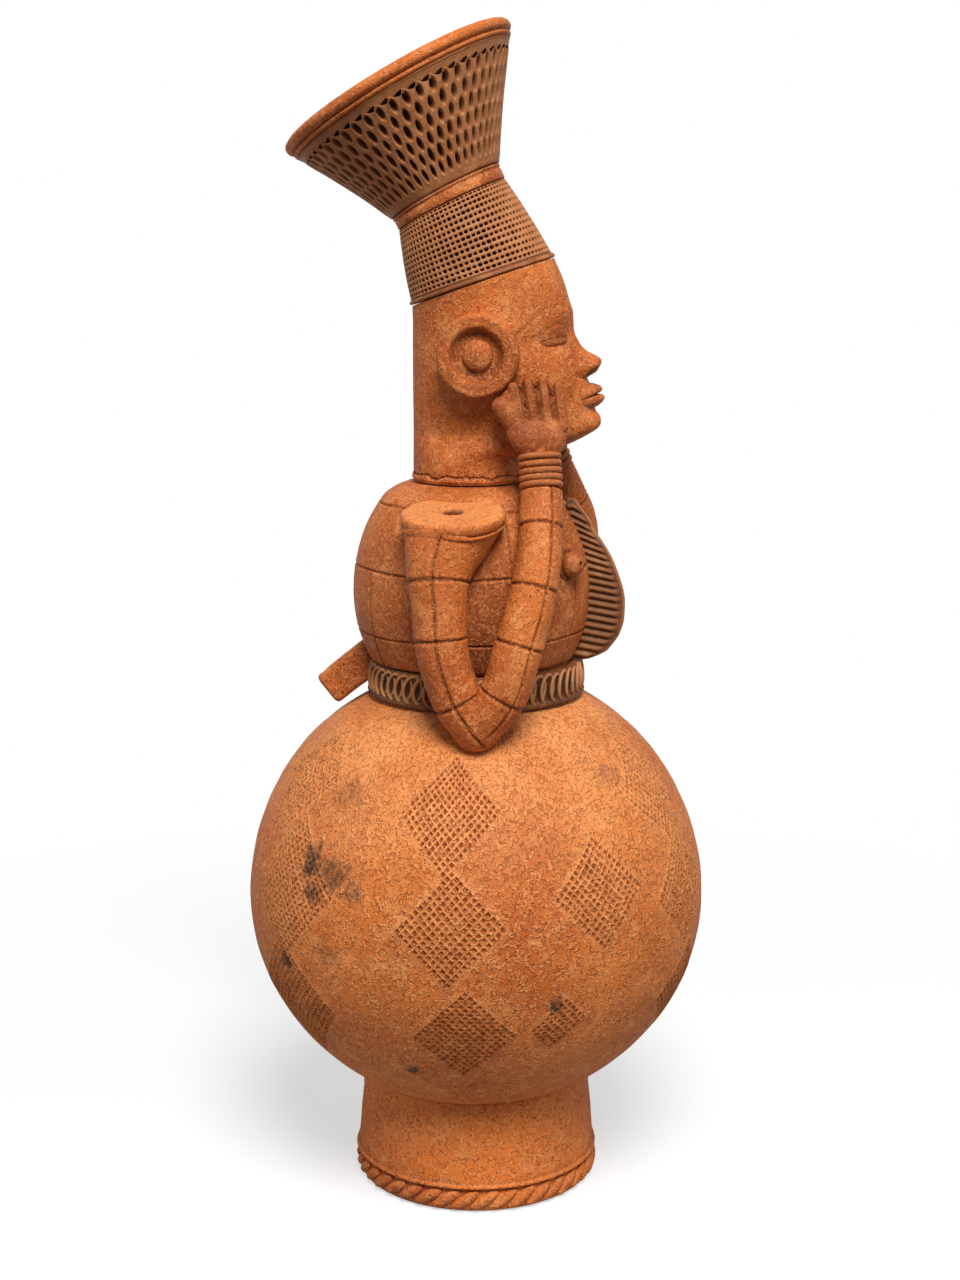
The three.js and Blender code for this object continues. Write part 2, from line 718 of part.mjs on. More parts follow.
function buildFunnel() {
  const ringSteps = 4;
  const shares = Array.from({ length: ringSteps + 1 }, (_, step) => step / ringSteps);
  const outer = shares.map((share) => funnelRing(share));
  const inner = [funnelRing(0), funnelRing(0.5), funnelRing(1)].map((ring) => grown(ring, -coiffureWall));
  let funnel = solidOf(hollowLoft(outer, inner, headSides));
  for (let row = 0; row < pitRows; row += 1) {
    const share = (row + 0.75) / (pitRows + 0.5);
    for (let pit = 0; pit < pitsPerRow; pit += 1) {
      const angle = (pit + (row % 2) / 2) * 2 * Math.PI / pitsPerRow;
      funnel = funnel.subtract(solidOf(pitCutter(share, angle)));
    }
  }
  addPiece('coiffure_funnel', funnel, brownClay);
}

function buildRim() {
  const seat = raised(funnelRing(1), jointGap);
  const bulge = rimRadius - funnelMouthRadius;
  const outer = [
    seat,
    grown(raised(seat, rimHeight * 0.15), bulge * 0.5),
    grown(raised(seat, rimHeight * 0.4), bulge),
    grown(raised(seat, rimHeight * 0.75), bulge * 0.9),
    grown(raised(seat, rimHeight), bulge * 0.2),
  ];
  const inner = [grown(seat, -coiffureWall), grown(raised(seat, rimHeight * 0.8), -coiffureWall)];
  addPiece('coiffure_rim', solidOf(hollowLoft(outer, inner, headSides)), orangeClay);
}

// Tilted top of the arm, just under the shoulder cap
const capTop = place(capForward, capSide, torsoTop - capBelowTorsoTop);
const capNormal = new THREE.Vector3(Math.sin(capTilt), 0, Math.cos(capTilt));
const armTop = capTop.clone().addScaledVector(capNormal, -capThickness - jointGap);
const elbowShare = Math.hypot(elbowForward, elbowSide) / bellyRadius;
const elbowFloor = bellyCentre + bellyRise * Math.sqrt(1 - elbowShare ** 2);
const elbow = place(elbowForward, elbowSide, elbowFloor + elbowRadius - elbowPress);

// A point beside the torso: forward, how far outside its widest radius, and a share of the arm's height
function armPoint([forward, outside, share]) {
  return place(forward, torsoRadius + outside, THREE.MathUtils.lerp(elbow.z, armTop.z, share));
}

const upperArmCurve = new THREE.CatmullRomCurve3([armTop, ...upperArmCourse.map(armPoint), elbow]);

function upperArmSolid(growth) {
  const shares = [0, 0.08, 0.17, 0.28, 0.42, 0.6, 0.8, 1];
  const stations = shares.map((share) => {
    const flare = Math.max(0, 1 - share / armFlareShare) ** 2;
    const straight = THREE.MathUtils.lerp(upperArmRadius, elbowRadius, share);
    return [share, THREE.MathUtils.lerp(straight, capRadius, flare) + growth];
  });
  const normal = capNormal.clone().negate();
  const outside = tube(upperArmCurve, [[0, 0], ...stations, [1, 0]], limbSides + 2, normal);
  const ball = new THREE.SphereGeometry(elbowRadius + growth, limbSides, limbSides / 2);
  return solidOf(outside).add(solidOf(ball.translate(elbow.x, elbow.y, elbow.z)));
}

function buildUpperArms() {
  const lift = upperArmCurve.clone();
  lift.points = [armTop.clone().addScaledVector(capNormal, capThickness), ...upperArmCurve.points.slice(1, -2)];
  const cavity = solidOf(tube(lift, [
    [0, 0], [0, armCavityRadius * 1.4], [0.3, armCavityRadius], [1, armCavityRadius * 0.9], [1, 0],
  ], limbSides));
  const arm = upperArmSolid(0).subtract(cavity).subtract(torsoFilled).subtract(bellyFilled);
  addPair('upper_arm', arm, orangeClay);

  const edge = capThickness * 0.3;
  const cap = turned([
    [ventRadius, -capThickness],
    [capRadius - edge, -capThickness],
    [capRadius, -capThickness + edge],
    [capRadius, -edge],
    [capRadius - edge, 0],
    [ventRadius, 0],
    [ventRadius, -capThickness],
  ], bodySides * 2 / 3);
  cap.rotateY(capTilt).translate(capTop.x, capTop.y, capTop.z);
  addPair('shoulder_cap', solidOf(cap).subtract(torsoFilled), orangeClay);
}

// The forearm's course from elbow to wrist. Bow swings its middle forward, and back draws its wrist back.
function forearmCurve(bow, back) {
  const course = forearmCourse.map(([forward, outside, share], index) => {
    const way = (index + 1) / (forearmCourse.length + 1);
    const swing = bow * Math.sin(way * Math.PI) - back * Math.max(0, 2 * way - 1);
    return armPoint([forward + swing, outside, share]);
  });
  const wrist = place(wristForward - back, wristSide, torsoTop + wristAboveTorsoTop);
  return new THREE.CatmullRomCurve3([elbow, ...course, wrist]);
}

function buildForearm(side, bow, back) {
  const add = (name, geometry, material) => {
    const solid = side === 'right' ? solidOf(mirrored(geometry)) : solidOf(geometry);
    addPiece(`${name}_${side}`, solid, material);
  };
  const curve = forearmCurve(bow, back);
  const coilPitch = braceletWire + jointGap;
  const seatShare = 1 - (braceletCoils * coilPitch + jointGap) / curve.getLength();
  const arm = solidOf(tube(curve, [
    [0, 0],
    [0, elbowRadius - 0.6],
    [0.15, elbowRadius - 0.6],
    [0.3, forearmRadius],
    [0.5, forearmRadius],
    [0.7, THREE.MathUtils.lerp(forearmRadius, wristRadius, 0.7)],
    [seatShare, wristRadius],
    [seatShare, braceletSeatRadius],
    [1, braceletSeatRadius],
    [1, 0],
  ], limbSides));
  const seated = arm.subtract(upperArmSolid(jointGap)).subtract(bellyFilled).subtract(torsoFilled);
  add('forearm', geometryOf(seated), orangeClay);

  const coilRadius = braceletSeatRadius + jointGap + braceletWire / 2;
  const startLength = curve.getLength() * seatShare + jointGap + braceletWire / 2;
  for (let coil = 0; coil < braceletCoils; coil += 1) {
    const share = (startLength + coil * coilPitch) / curve.getLength();
    const ring = new THREE.TorusGeometry(coilRadius, braceletWire / 2, 5, limbSides);
    const turn = new THREE.Quaternion();
    turn.setFromUnitVectors(new THREE.Vector3(0, 0, 1), curve.getTangentAt(share));
    ring.applyQuaternion(turn).translate(...curve.getPointAt(share));
    add(`bracelet_${coil + 1}`, ring, orangeClay);
  }
  add('hand', handGeometry(curve), orangeClay);
}

// A finger lying in the hand's own frame, which is x forward, y away from the cheek and z up
function finger(radius, length, forward, up, fan) {
  const geometry = new THREE.CapsuleGeometry(radius, length - 2 * radius, 2, 6);
  return geometry.rotateX(Math.PI / 2).rotateY(fan).translate(forward, 0, up);
}

function handGeometry(curve) {
  const wristDirection = curve.getTangentAt(1);
  const palmSize = new THREE.Vector3(palmWidth / 2, palmThickness / 2, palmHeight / 2);
  let hand = solidOf(lump(palmSize, new THREE.Vector3(0, 0, palmHeight * 0.42)));
  const spread = palmWidth / 4;
  for (let digit = 0; digit < 4; digit += 1) {
    const offset = (digit - 1.35) * spread;
    const reach = fingerLength - Math.abs(digit - 1.5) * 0.9;
    const middle = palmHeight / 2 + reach / 2;
    hand = hand.add(solidOf(finger(fingerRadius, reach, offset, middle, offset * 0.02)));
  }
  const thumb = finger(thumbRadius, thumbLength, -palmWidth / 2, palmHeight * 0.55, -thumbSpread);
  hand = hand.add(solidOf(thumb));
  const forwardAxis = new THREE.Vector3(0, -1, 0);
  const outwardAxis = new THREE.Vector3(1, 0, 0);
  const upAxis = new THREE.Vector3(0, 0, 1);
  const seat = curve.getPointAt(1).addScaledVector(wristDirection, jointGap);
  const geometry = geometryOf(hand).rotateX(handLean).rotateZ(-handYaw);
  geometry.applyMatrix4(new THREE.Matrix4().makeBasis(forwardAxis, outwardAxis, upAxis).setPosition(seat));
  const earSpace = facingSideways(turned([
    [0, -earThickness],
    [earRadius + jointGap, -earThickness],
    [earRadius + jointGap, earThickness + jointGap],
    [0, earThickness + jointGap],
  ], bodySides * 2 / 3), earPlace);
  const fitted = solidOf(geometry).trimByPlane(wristDirection.toArray(), wristDirection.dot(seat));
  return geometryOf(fitted.subtract(headFilled).subtract(solidOf(earSpace)));
}

// Front face of the torso in the middle plane, at a height above its widest place
function torsoFront(up) {
  const climb = up > 0 ? torsoRise : torsoDrop;
  return torsoForward + Math.max(torsoFootRadius, torsoRadius * Math.sqrt(1 - (up / climb) ** 2));
}

// Cut back from the torso, the belt and the belly
function clearOfWaist(solid) {
  return solid.subtract(torsoFilled).subtract(beltEnvelope).subtract(bellyFilled);
}

function crestPlate(reach, thickness) {
  const edge = new THREE.SplineCurve(crestEdge.map(([up, share]) => (
    new THREE.Vector2(torsoFront(up) + reach * share, torsoCentre + up)
  )));
  const outer = edge.getPoints(2 * crestEdge.length).map((point) => [point.x, point.y]);
  const root = torsoForward + torsoShoulderRadius * 0.8;
  return middlePlate([...outer, [root, torsoCentre - crestBottom], [root, torsoCentre + crestTop]], thickness);
}

function buildCrest() {
  const plate = solidOf(crestPlate(crestReach, crestThickness));
  const ribSpace = solidOf(crestPlate(crestReach * crestRibShare, crestRibThickness));
  let crest = plate;
  for (let rib = 0; rib < crestRibs; rib += 1) {
    const up = THREE.MathUtils.lerp(crestTop, -crestBottom, (rib + 0.6) / crestRibs);
    const bar = new THREE.BoxGeometry(crestRibThickness, torsoRadius, crestRibHeight);
    bar.rotateX(crestDroop).translate(0, -torsoFront(up), torsoCentre + up);
    crest = crest.add(solidOf(bar).intersect(ribSpace));
  }
  addPiece('chest_crest', clearOfWaist(crest), darkClay);
}

function buildNipples() {
  const skin = torsoRadius * Math.sqrt(1 - (nippleAboveWidest / torsoRise) ** 2);
  const radius = skin + nippleReach - nippleRadius;
  const forward = torsoForward + radius * Math.cos(nippleAngle);
  const middle = place(forward, radius * Math.sin(nippleAngle), torsoCentre + nippleAboveWidest);
  const knob = lump(new THREE.Vector3(nippleRadius, nippleRadius, nippleRadius), middle);
  const hole = new THREE.CylinderGeometry(nippleHoleRadius, nippleHoleRadius, nippleRadius, 8);
  hole.translate(0, -nippleRadius, 0).rotateZ(nippleAngle).translate(middle.x, middle.y, middle.z);
  addPair('nipple', solidOf(knob).subtract(solidOf(hole)).subtract(torsoFilled), orangeClay);
}

function buildSlab() {
  const slab = new THREE.BoxGeometry(slabWidth, slabLength, slabHeight);
  slab.translate(0, -slabLength / 2, 0).rotateX(-slabDroop);
  slab.translate(0, -(torsoForward - torsoFootRadius - slabReach), torsoBase - slabDrop);
  addPiece('back_slab', clearOfWaist(solidOf(slab)), orangeClay);
}

buildFoot();
buildBelly();
buildBelt();
buildTorso();
buildCrest();
buildNipples();
buildSlab();
buildHead();
buildFace();
buildEars();
buildBand();
buildCollar();
buildFunnel();
buildRim();
buildUpperArms();
buildForearm('left', leftArmBow, leftWristBack);
buildForearm('right', 0, 0);

export default jar;
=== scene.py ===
from math import acos, asin, atan2, ceil, cos, exp, hypot, pi, radians, sin, sqrt

import bmesh
import bpy
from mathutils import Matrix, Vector, noise
from mathutils.bvhtree import BVHTree
from mathutils.kdtree import KDTree


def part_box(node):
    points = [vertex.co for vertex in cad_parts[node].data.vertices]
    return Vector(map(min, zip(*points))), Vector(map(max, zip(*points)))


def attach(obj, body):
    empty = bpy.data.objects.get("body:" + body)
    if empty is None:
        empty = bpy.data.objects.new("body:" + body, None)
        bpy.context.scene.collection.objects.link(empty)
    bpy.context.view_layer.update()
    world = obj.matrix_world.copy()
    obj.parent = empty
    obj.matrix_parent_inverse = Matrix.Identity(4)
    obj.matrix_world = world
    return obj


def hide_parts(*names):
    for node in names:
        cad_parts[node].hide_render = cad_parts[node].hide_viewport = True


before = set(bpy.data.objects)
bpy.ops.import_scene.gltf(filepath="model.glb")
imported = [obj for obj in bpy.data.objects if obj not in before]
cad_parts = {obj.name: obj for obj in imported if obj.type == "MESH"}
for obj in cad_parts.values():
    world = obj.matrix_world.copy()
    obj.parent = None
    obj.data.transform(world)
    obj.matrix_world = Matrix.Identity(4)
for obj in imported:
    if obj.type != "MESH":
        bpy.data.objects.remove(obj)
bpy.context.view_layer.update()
print("frame loaded:", len(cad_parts), "nodes")

mm = 0.001
sides = (("left", 1), ("right", -1))
world = bpy.context.scene.world or bpy.data.worlds.new("studioWorld")
bpy.context.scene.world = world


# camera and light

def newObject(name, data):
    holder = bpy.data.objects.new(name, data)
    bpy.context.scene.collection.objects.link(holder)
    return holder


def aimAt(holder, towards):
    holder.rotation_euler = towards.to_track_quat("-Z", "Y").to_euler()


view = {"lens": 62, "aim": (0.24, -1.38, 195.25), "distance": 771.6, "turn": 10.0, "climb": 11.6}


def addCamera():
    turn, climb = radians(view["turn"]), radians(view["climb"])
    towards = Vector((-cos(turn) * cos(climb), -sin(turn) * cos(climb), sin(climb)))
    data = bpy.data.cameras.new("photoCamera")
    data.lens = view["lens"]
    data.clip_end = 20
    holder = newObject("photoCamera", data)
    holder.location = (Vector(view["aim"]) + towards * view["distance"]) * mm
    aimAt(holder, -towards)
    bpy.context.scene.camera = holder


studio = {
    "keyPlace": (-1450, -480, 2150), "keySize": 1100, "keyPower": 88.0,
    "fillPlace": (-500, -2200, 1200), "fillSize": 900, "fillPower": 8.0,
    "backPlace": (-600, 2200, 1000), "backSize": 900, "backPower": 9.0,
    "skyStrength": 0.13, "lampAim": (0, 0, 200),
}


def addLamp(name, place, size, power):
    data = bpy.data.lights.new(name, "AREA")
    data.shape = "DISK"
    data.size = size * mm
    data.energy = power
    holder = newObject(name, data)
    holder.location = Vector(place) * mm
    aimAt(holder, Vector(studio["lampAim"]) * mm - holder.location)


addCamera()
for lamp in ("key", "fill", "back"):
    addLamp(lamp + "Lamp", studio[lamp + "Place"], studio[lamp + "Size"], studio[lamp + "Power"])
bpy.context.scene.view_settings.view_transform = "Standard"
print("camera and lamps placed")


# node trees

socketKinds = {float: "Float", int: "Int", 3: "Vector", 4: "Color"}


def put(tree, kind, inputs=(), **settings):
    # a node given as a value stands for its first output
    node = tree.nodes.new(kind)
    for name, value in settings.items():
        setattr(node, name, value)
    for key, value in inputs:
        value = value.outputs[0] if isinstance(value, bpy.types.Node) else value
        if isinstance(value, bpy.types.NodeSocket):
            tree.links.new(value, node.inputs[key])
        else:
            node.inputs[key].default_value = value
    return node


def calculate(tree, operation, *values):
    return put(tree, "ShaderNodeMath", enumerate(values), operation=operation).outputs[0]


def multiply(tree, first, second):
    return calculate(tree, "MULTIPLY", first, second)


def spread(tree, value, low, high, newLow=0.0, newHigh=1.0):
    return put(tree, "ShaderNodeMapRange", [("Value", value), ("From Min", low), ("From Max", high),
                                            ("To Min", newLow), ("To Max", newHigh)]).outputs[0]


def stripe(tree, value, low, lowFull, highFull, high):
    return multiply(tree, spread(tree, value, low, lowFull), spread(tree, value, highFull, high, 1.0, 0.0))


def clouds(tree, place, scale, detail=2.0, roughness=0.5):
    return put(tree, "ShaderNodeTexNoise", [("Vector", place), ("Scale", scale), ("Detail", detail),
                                            ("Roughness", roughness)]).outputs[0]


def blendColours(tree, share, first, second):
    return put(tree, "ShaderNodeMix", [(0, share), (6, first), (7, second)], data_type="RGBA").outputs[2]


def newGroup(name, kind, inputs, outputs):
    # sockets by label: a default value, or the name of the kind of socket
    tree = bpy.data.node_groups.new(name, kind)
    for way, sockets in (("INPUT", inputs), ("OUTPUT", outputs)):
        for label, value in sockets.items():
            known = len(value) if isinstance(value, tuple) else type(value)
            kindName = socketKinds.get(known, value)
            socket = tree.interface.new_socket(label, in_out=way, socket_type="NodeSocket" + kindName)
            if known in socketKinds:
                socket.default_value = value
    return tree, tree.nodes.new("NodeGroupInput").outputs, tree.nodes.new("NodeGroupOutput").inputs


def newMaterial(name):
    material = bpy.data.materials.new(name)
    material.use_nodes = True
    material.node_tree.nodes.clear()
    return material, material.node_tree


def colour(red, green, blue):
    def linear(value):
        share = value / 255
        return share / 12.92 if share <= 0.04045 else ((share + 0.055) / 1.055) ** 2.4
    return (linear(red), linear(green), linear(blue), 1.0)


# clay finishes

def makeClayTone():
    tree, given, result = newGroup("clayTone", "ShaderNodeTree", {
        "Body": colour(190, 104, 52), "Pale": colour(214, 134, 78), "Deep": colour(150, 70, 30),
        "SoilAndShade": colour(84, 44, 24), "Mottle": 1.0,
    }, {"Color": "Color", "Matt": "Float"})
    place = put(tree, "ShaderNodeTexCoord").outputs["Object"]
    patches = clouds(tree, place, 95.0, 5.0, 0.65)
    specks = put(tree, "ShaderNodeTexVoronoi", [("Vector", place), ("Scale", 260.0), ("Randomness", 1.0)])
    sparse = spread(tree, clouds(tree, place, 60.0), 0.46, 0.56)
    hollow, paleHighlight = (put(tree, "ShaderNodeAttribute", attribute_name=label).outputs["Fac"]
                    for label in ("hollow", "paleHighlight"))
    shares = (
        ("Deep", multiply(tree, spread(tree, clouds(tree, place, 22.0, 4.0), 0.42, 0.66), given["Mottle"])),
        ("Pale", multiply(tree, spread(tree, patches, 0.5, 0.74, 0.0, 0.75), given["Mottle"])),
        ("SoilAndShade", multiply(tree, spread(tree, specks, 0.10, 0.17, 0.75, 0.0), sparse)),
        ("Deep", spread(tree, clouds(tree, place, 900.0), 0.3, 0.7, 0.0, 0.22)),
        # painted shade: hollow darkens pits, grooves, holes and creases toward the soil tone, which also
        # gives the real specks (with real soot on the torso and the neck seam's dark line)
        ("SoilAndShade", multiply(tree, hollow, 0.82)),
        # painted highlight: the stored share pales ridges, raised rims, loops, rings, the belly's upper half
        # and the shoulder caps' tops
        ("Pale", multiply(tree, paleHighlight, 0.7)),
    )
    base = given["Body"]
    for label, share in shares:
        base = blendColours(tree, share, base, given[label])
    tree.links.new(base, result["Color"])
    matt = calculate(tree, "ADD", spread(tree, patches, 0.3, 0.7, 0.54, 0.7), multiply(tree, hollow, 0.2))
    tree.links.new(matt, result["Matt"])
    return tree


def wrigglingLines(tree, place, scale, shift, turns, cover):
    # short curly scratches: level lines of a noise, broken up by a second one, with a burr on one side that
    # makeClay paints pale as a painted highlight
    moved = put(tree, "ShaderNodeVectorMath", [(0, place), (1, (shift, -shift, shift))], operation="ADD")
    phase = calculate(tree, "FRACT", multiply(tree, clouds(tree, moved, scale, 1.0), turns))
    shown = multiply(tree, spread(tree, clouds(tree, moved, scale * 1.35), 0.44, 0.53), cover)
    return (multiply(tree, stripe(tree, phase, 0.0, 0.06, 0.13, 0.2), shown),
            multiply(tree, stripe(tree, phase, 0.17, 0.25, 0.34, 0.46), shown))


def makePotterMarks():
    tree, given, result = newGroup("potterMarks", "ShaderNodeTree", {"Cover": 1.0, "Cracks": 0.0},
                                   {"Core": "Float", "Burr": "Float", "Height": "Float"})
    place = put(tree, "ShaderNodeTexCoord").outputs["Object"]
    large = wrigglingLines(tree, place, 370.0, 0.0, 2.5, given["Cover"])
    small = wrigglingLines(tree, place, 480.0, 0.37, 2.2, given["Cover"])
    core, burr = (calculate(tree, "MAXIMUM", *pair) for pair in zip(large, small))
    web = put(tree, "ShaderNodeTexVoronoi", [("Vector", place), ("Scale", 125.0)], feature="DISTANCE_TO_EDGE")
    crack = multiply(tree, spread(tree, web, 0.0, 0.03, 1.0, 0.0),
                     spread(tree, clouds(tree, place, 130.0), 0.5, 0.6))
    core = calculate(tree, "MAXIMUM", core, multiply(tree, crack, given["Cracks"]))
    height = calculate(tree, "SUBTRACT", multiply(tree, burr, 0.8), core)
    for scale, detail, strength in ((1300.0, 3.0, 0.35), (260.0, 2.0, 0.8)):
        grain = multiply(tree, clouds(tree, place, scale, detail), strength)
        height = calculate(tree, "ADD", height, grain)
    for label, value in (("Core", core), ("Burr", burr), ("Height", height)):
        tree.links.new(value, result[label])
    return tree


def makeSoot(spots):
    tree, given, result = newGroup("sootSpots", "ShaderNodeTree", {"Strength": 1.0}, {"Mask": "Float"})
    place = put(tree, "ShaderNodeTexCoord").outputs["Object"]
    ragged = clouds(tree, place, 210.0, 6.0, 0.75)
    total = 0.0
    for centre, radius, strength in spots:
        away = put(tree, "ShaderNodeVectorMath", [(0, place), (1, centre)], operation="DISTANCE")
        near = spread(tree, away.outputs["Value"], 0.0, radius, 0.66, 0.0)
        smudge = spread(tree, calculate(tree, "ADD", near, ragged), 0.76, 0.94, 0.0, strength)
        total = calculate(tree, "MAXIMUM", total, smudge)
    streaks = spread(tree, clouds(tree, place, 620.0), 0.36, 0.6, 0.45, 0.95)
    tree.links.new(multiply(tree, multiply(tree, total, streaks), given["Strength"]), result["Mask"])
    return tree


clayTone = makeClayTone()
potterMarks = makePotterMarks()


def tonesOf(body, deep, pale, soilAndShade, mottle=0.9):
    return {"Body": colour(*body), "Deep": colour(*deep), "Pale": colour(*pale), "SoilAndShade": colour(*soilAndShade),
            "Mottle": mottle}


def makeClay(name, tones, cover=1.0, depth=0.4, cracks=0.0, soot=None):
    material, tree = newMaterial(name)
    tone = put(tree, "ShaderNodeGroup", node_tree=clayTone)
    for label, value in tones.items():
        tone.inputs[label].default_value = value
    marks = put(tree, "ShaderNodeGroup", node_tree=potterMarks)
    marks.inputs["Cover"].default_value = cover
    marks.inputs["Cracks"].default_value = cracks
    shade = tone.outputs["Color"]
    # painted highlight on the scratches' burrs, and painted shade in their cores and in the cracks
    shade = blendColours(tree, multiply(tree, marks.outputs["Burr"], 0.42), shade, tones["Pale"])
    shade = blendColours(tree, multiply(tree, marks.outputs["Core"], 0.5), shade, tones["SoilAndShade"])
    if soot:
        smudge = put(tree, "ShaderNodeGroup", node_tree=soot).outputs["Mask"]
        shade = blendColours(tree, smudge, shade, colour(56, 42, 32))
    bump = put(tree, "ShaderNodeBump", [("Strength", depth), ("Distance", 0.0005),
                                        ("Height", marks.outputs["Height"])])
    surface = put(tree, "ShaderNodeBsdfPrincipled", [
        ("Base Color", shade), ("Roughness", tone.outputs["Matt"]), ("Normal", bump),
        ("Specular IOR Level", 0.2)])
    output = put(tree, "ShaderNodeOutputMaterial", [("Surface", surface)])
    output.is_active_output = True
    return material


# shared forms

def mix(first, second, share):
    return first + (second - first) * share


def clamp(value, low=0.0, high=1.0):
    return max(low, min(high, value))


def eased(value):
    share = clamp(value)
    return share * share * (3 - 2 * share)


def bell(distance, width):
    return exp(-(distance / width) ** 2)


def unevenness(point, size, seed=0.0):
    return noise.noise(Vector(point) / size + Vector((seed, seed * 1.7, -seed)))


def angleBetween(first, second):
    return abs((first - second + pi) % (2 * pi) - pi)


def cut(distance, width, depth, burr=0.12):
    across = distance / width
    return -depth * exp(-(across ** 2) * 2.2) + burr * exp(-((across - 1.7) ** 2) * 2.0)


def stations(low, high, step, marks=(), width=1.0):
    # even steps from low to high, with close ones across each mark
    count = max(1, ceil((high - low) / step))
    values = [low + (high - low) * index / count for index in range(count + 1)]
    offsets = (-2.4, -1.7, -1.1, -0.55, 0, 0.55, 1.1, 1.7, 2.4)
    values += [mark + width * offset for mark in marks for offset in offsets
               if low < mark + width * offset < high]
    values.sort()
    kept = [values[0]]
    for value in values[1:-1]:
        if value - kept[-1] > width * 0.3 and high - value > width * 0.3:
            kept.append(value)
    return kept + [high]


def newMesh(name, points, faces):
    mesh = bpy.data.meshes.new(name)
    mesh.from_pydata([Vector(point[:3]) * mm for point in points], [], faces)
    return mesh


def pieceFrom(name, points, faces, hollow=None, paleHighlight=None):
    mesh = newMesh(name, points, faces)
    mesh.validate()
    work = bmesh.new()
    work.from_mesh(mesh)
    bmesh.ops.recalc_face_normals(work, faces=work.faces)
    work.to_mesh(mesh)
    work.free()
    mesh.shade_smooth()
    for label, values in (("hollow", hollow), ("paleHighlight", paleHighlight)):
        layer = mesh.attributes.new(label, "FLOAT", "POINT")
        if values:
            layer.data.foreach_set("value", values)
    return newObject(name, mesh)


def skinFaces(rings, looped=False):
    starts = [0]
    for ring in rings:
        starts.append(starts[-1] + len(ring))
    faces = []
    for lower in range(len(rings) if looped else len(rings) - 1):
        upper = (lower + 1) % len(rings)
        lowCount, highCount = len(rings[lower]), len(rings[upper])
        for index in range(max(lowCount, highCount)):
            following = (index + 1) % max(lowCount, highCount)
            corners = [starts[lower] + index % lowCount, starts[lower] + following % lowCount,
                       starts[upper] + following % highCount, starts[upper] + index % highCount]
            faces.append(list(dict.fromkeys(corners)))
    return faces


def toneValues(points):
    # how dark and how pale each point is, where it says so after its place: mostly painted shade in recesses
    # and painted highlight on raised and upper faces
    return [[point[place] if len(point) > place else 0.0 for point in points] for place in (3, 4)]


def flat(rings):
    return [point for ring in rings for point in ring]


def skinPiece(name, rings, looped=False):
    points = flat(rings)
    return pieceFrom(name, points, skinFaces(rings, looped), *toneValues(points))


def markFaces(piece, flags):
    piece.data.attributes.new("punched", "BOOLEAN", "FACE").data.foreach_set("value", flags)


def around(radius, angle, up, forward=0.0):
    return radius * sin(angle), -forward - radius * cos(angle), up


def mirrored(point, side, *tones):
    return (side * point.x, point.y, point.z, *tones)


def turnedRing(radius, up, angles, forward=0.0):
    return [around(radius, angle, up, forward) for angle in angles]


def wholeTurn(count):
    return [2 * pi * index / count for index in range(count)]


def dress(piece, material, slot, *nodes):
    if material.name not in [each.name for each in piece.data.materials if each]:
        piece.data.materials.clear()
        piece.data.materials.append(material)
    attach(piece, "root")
    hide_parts(*nodes)
    return piece


def halfArc(form, angle, inset=0.0, upInset=None):
    # radius and height at an angle up a round form's section, inside its skin by an inset
    climb = (form["rise"] if angle > 0 else form["drop"]) - (inset if upInset is None else upInset)
    return (form["radius"] - inset) * cos(angle), form["centre"] + climb * sin(angle)


def arcHeight(form, way, radius):
    return form[way] * sqrt(1 - (radius / form["radius"]) ** 2)


def arcRadius(form, up, least=0.0):
    # a round form's radius at a height above its widest place
    climb = form["rise"] if up > 0 else form["drop"]
    return form["radius"] * sqrt(max(least, 1 - (up / climb) ** 2))


def smoothPath(points):
    spots = [Vector(point) for point in points]
    spots = [spots[0] * 2 - spots[1]] + spots + [spots[-1] * 2 - spots[-2]]
    fine = []
    for index in range(1, len(spots) - 2):
        before, start, end, after = spots[index - 1:index + 3]
        knots = [0.0]
        for first, second in ((before, start), (start, end), (end, after)):
            knots.append(knots[-1] + sqrt((second - first).length))
        for step in range(16):
            time = mix(knots[1], knots[2], step / 16)
            a = mixAt(before, start, knots[0], knots[1], time)
            b = mixAt(start, end, knots[1], knots[2], time)
            c = mixAt(end, after, knots[2], knots[3], time)
            a, b = mixAt(a, b, knots[0], knots[2], time), mixAt(b, c, knots[1], knots[3], time)
            fine.append(mixAt(a, b, knots[1], knots[2], time))
    fine.append(spots[-2])
    lengths = [0.0]
    for first, second in zip(fine, fine[1:]):
        lengths.append(lengths[-1] + (second - first).length)

    def at(share):
        goal = clamp(share) * lengths[-1]
        index = max(1, next((k for k, length in enumerate(lengths) if length >= goal), len(lengths) - 1))
        span = lengths[index] - lengths[index - 1]
        return fine[index - 1].lerp(fine[index], (goal - lengths[index - 1]) / span if span else 0)
    return at, lengths[-1]


def mixAt(first, second, low, high, time):
    return first + (second - first) * ((time - low) / (high - low))


# floor and backdrop

ground = {"radius": 600, "below": 0.4, "fadeFrom": 0.2, "fadeTo": 0.45, "tone": 0.88, "bounceTone": 0.4,
          "shadowLift": 0.6}


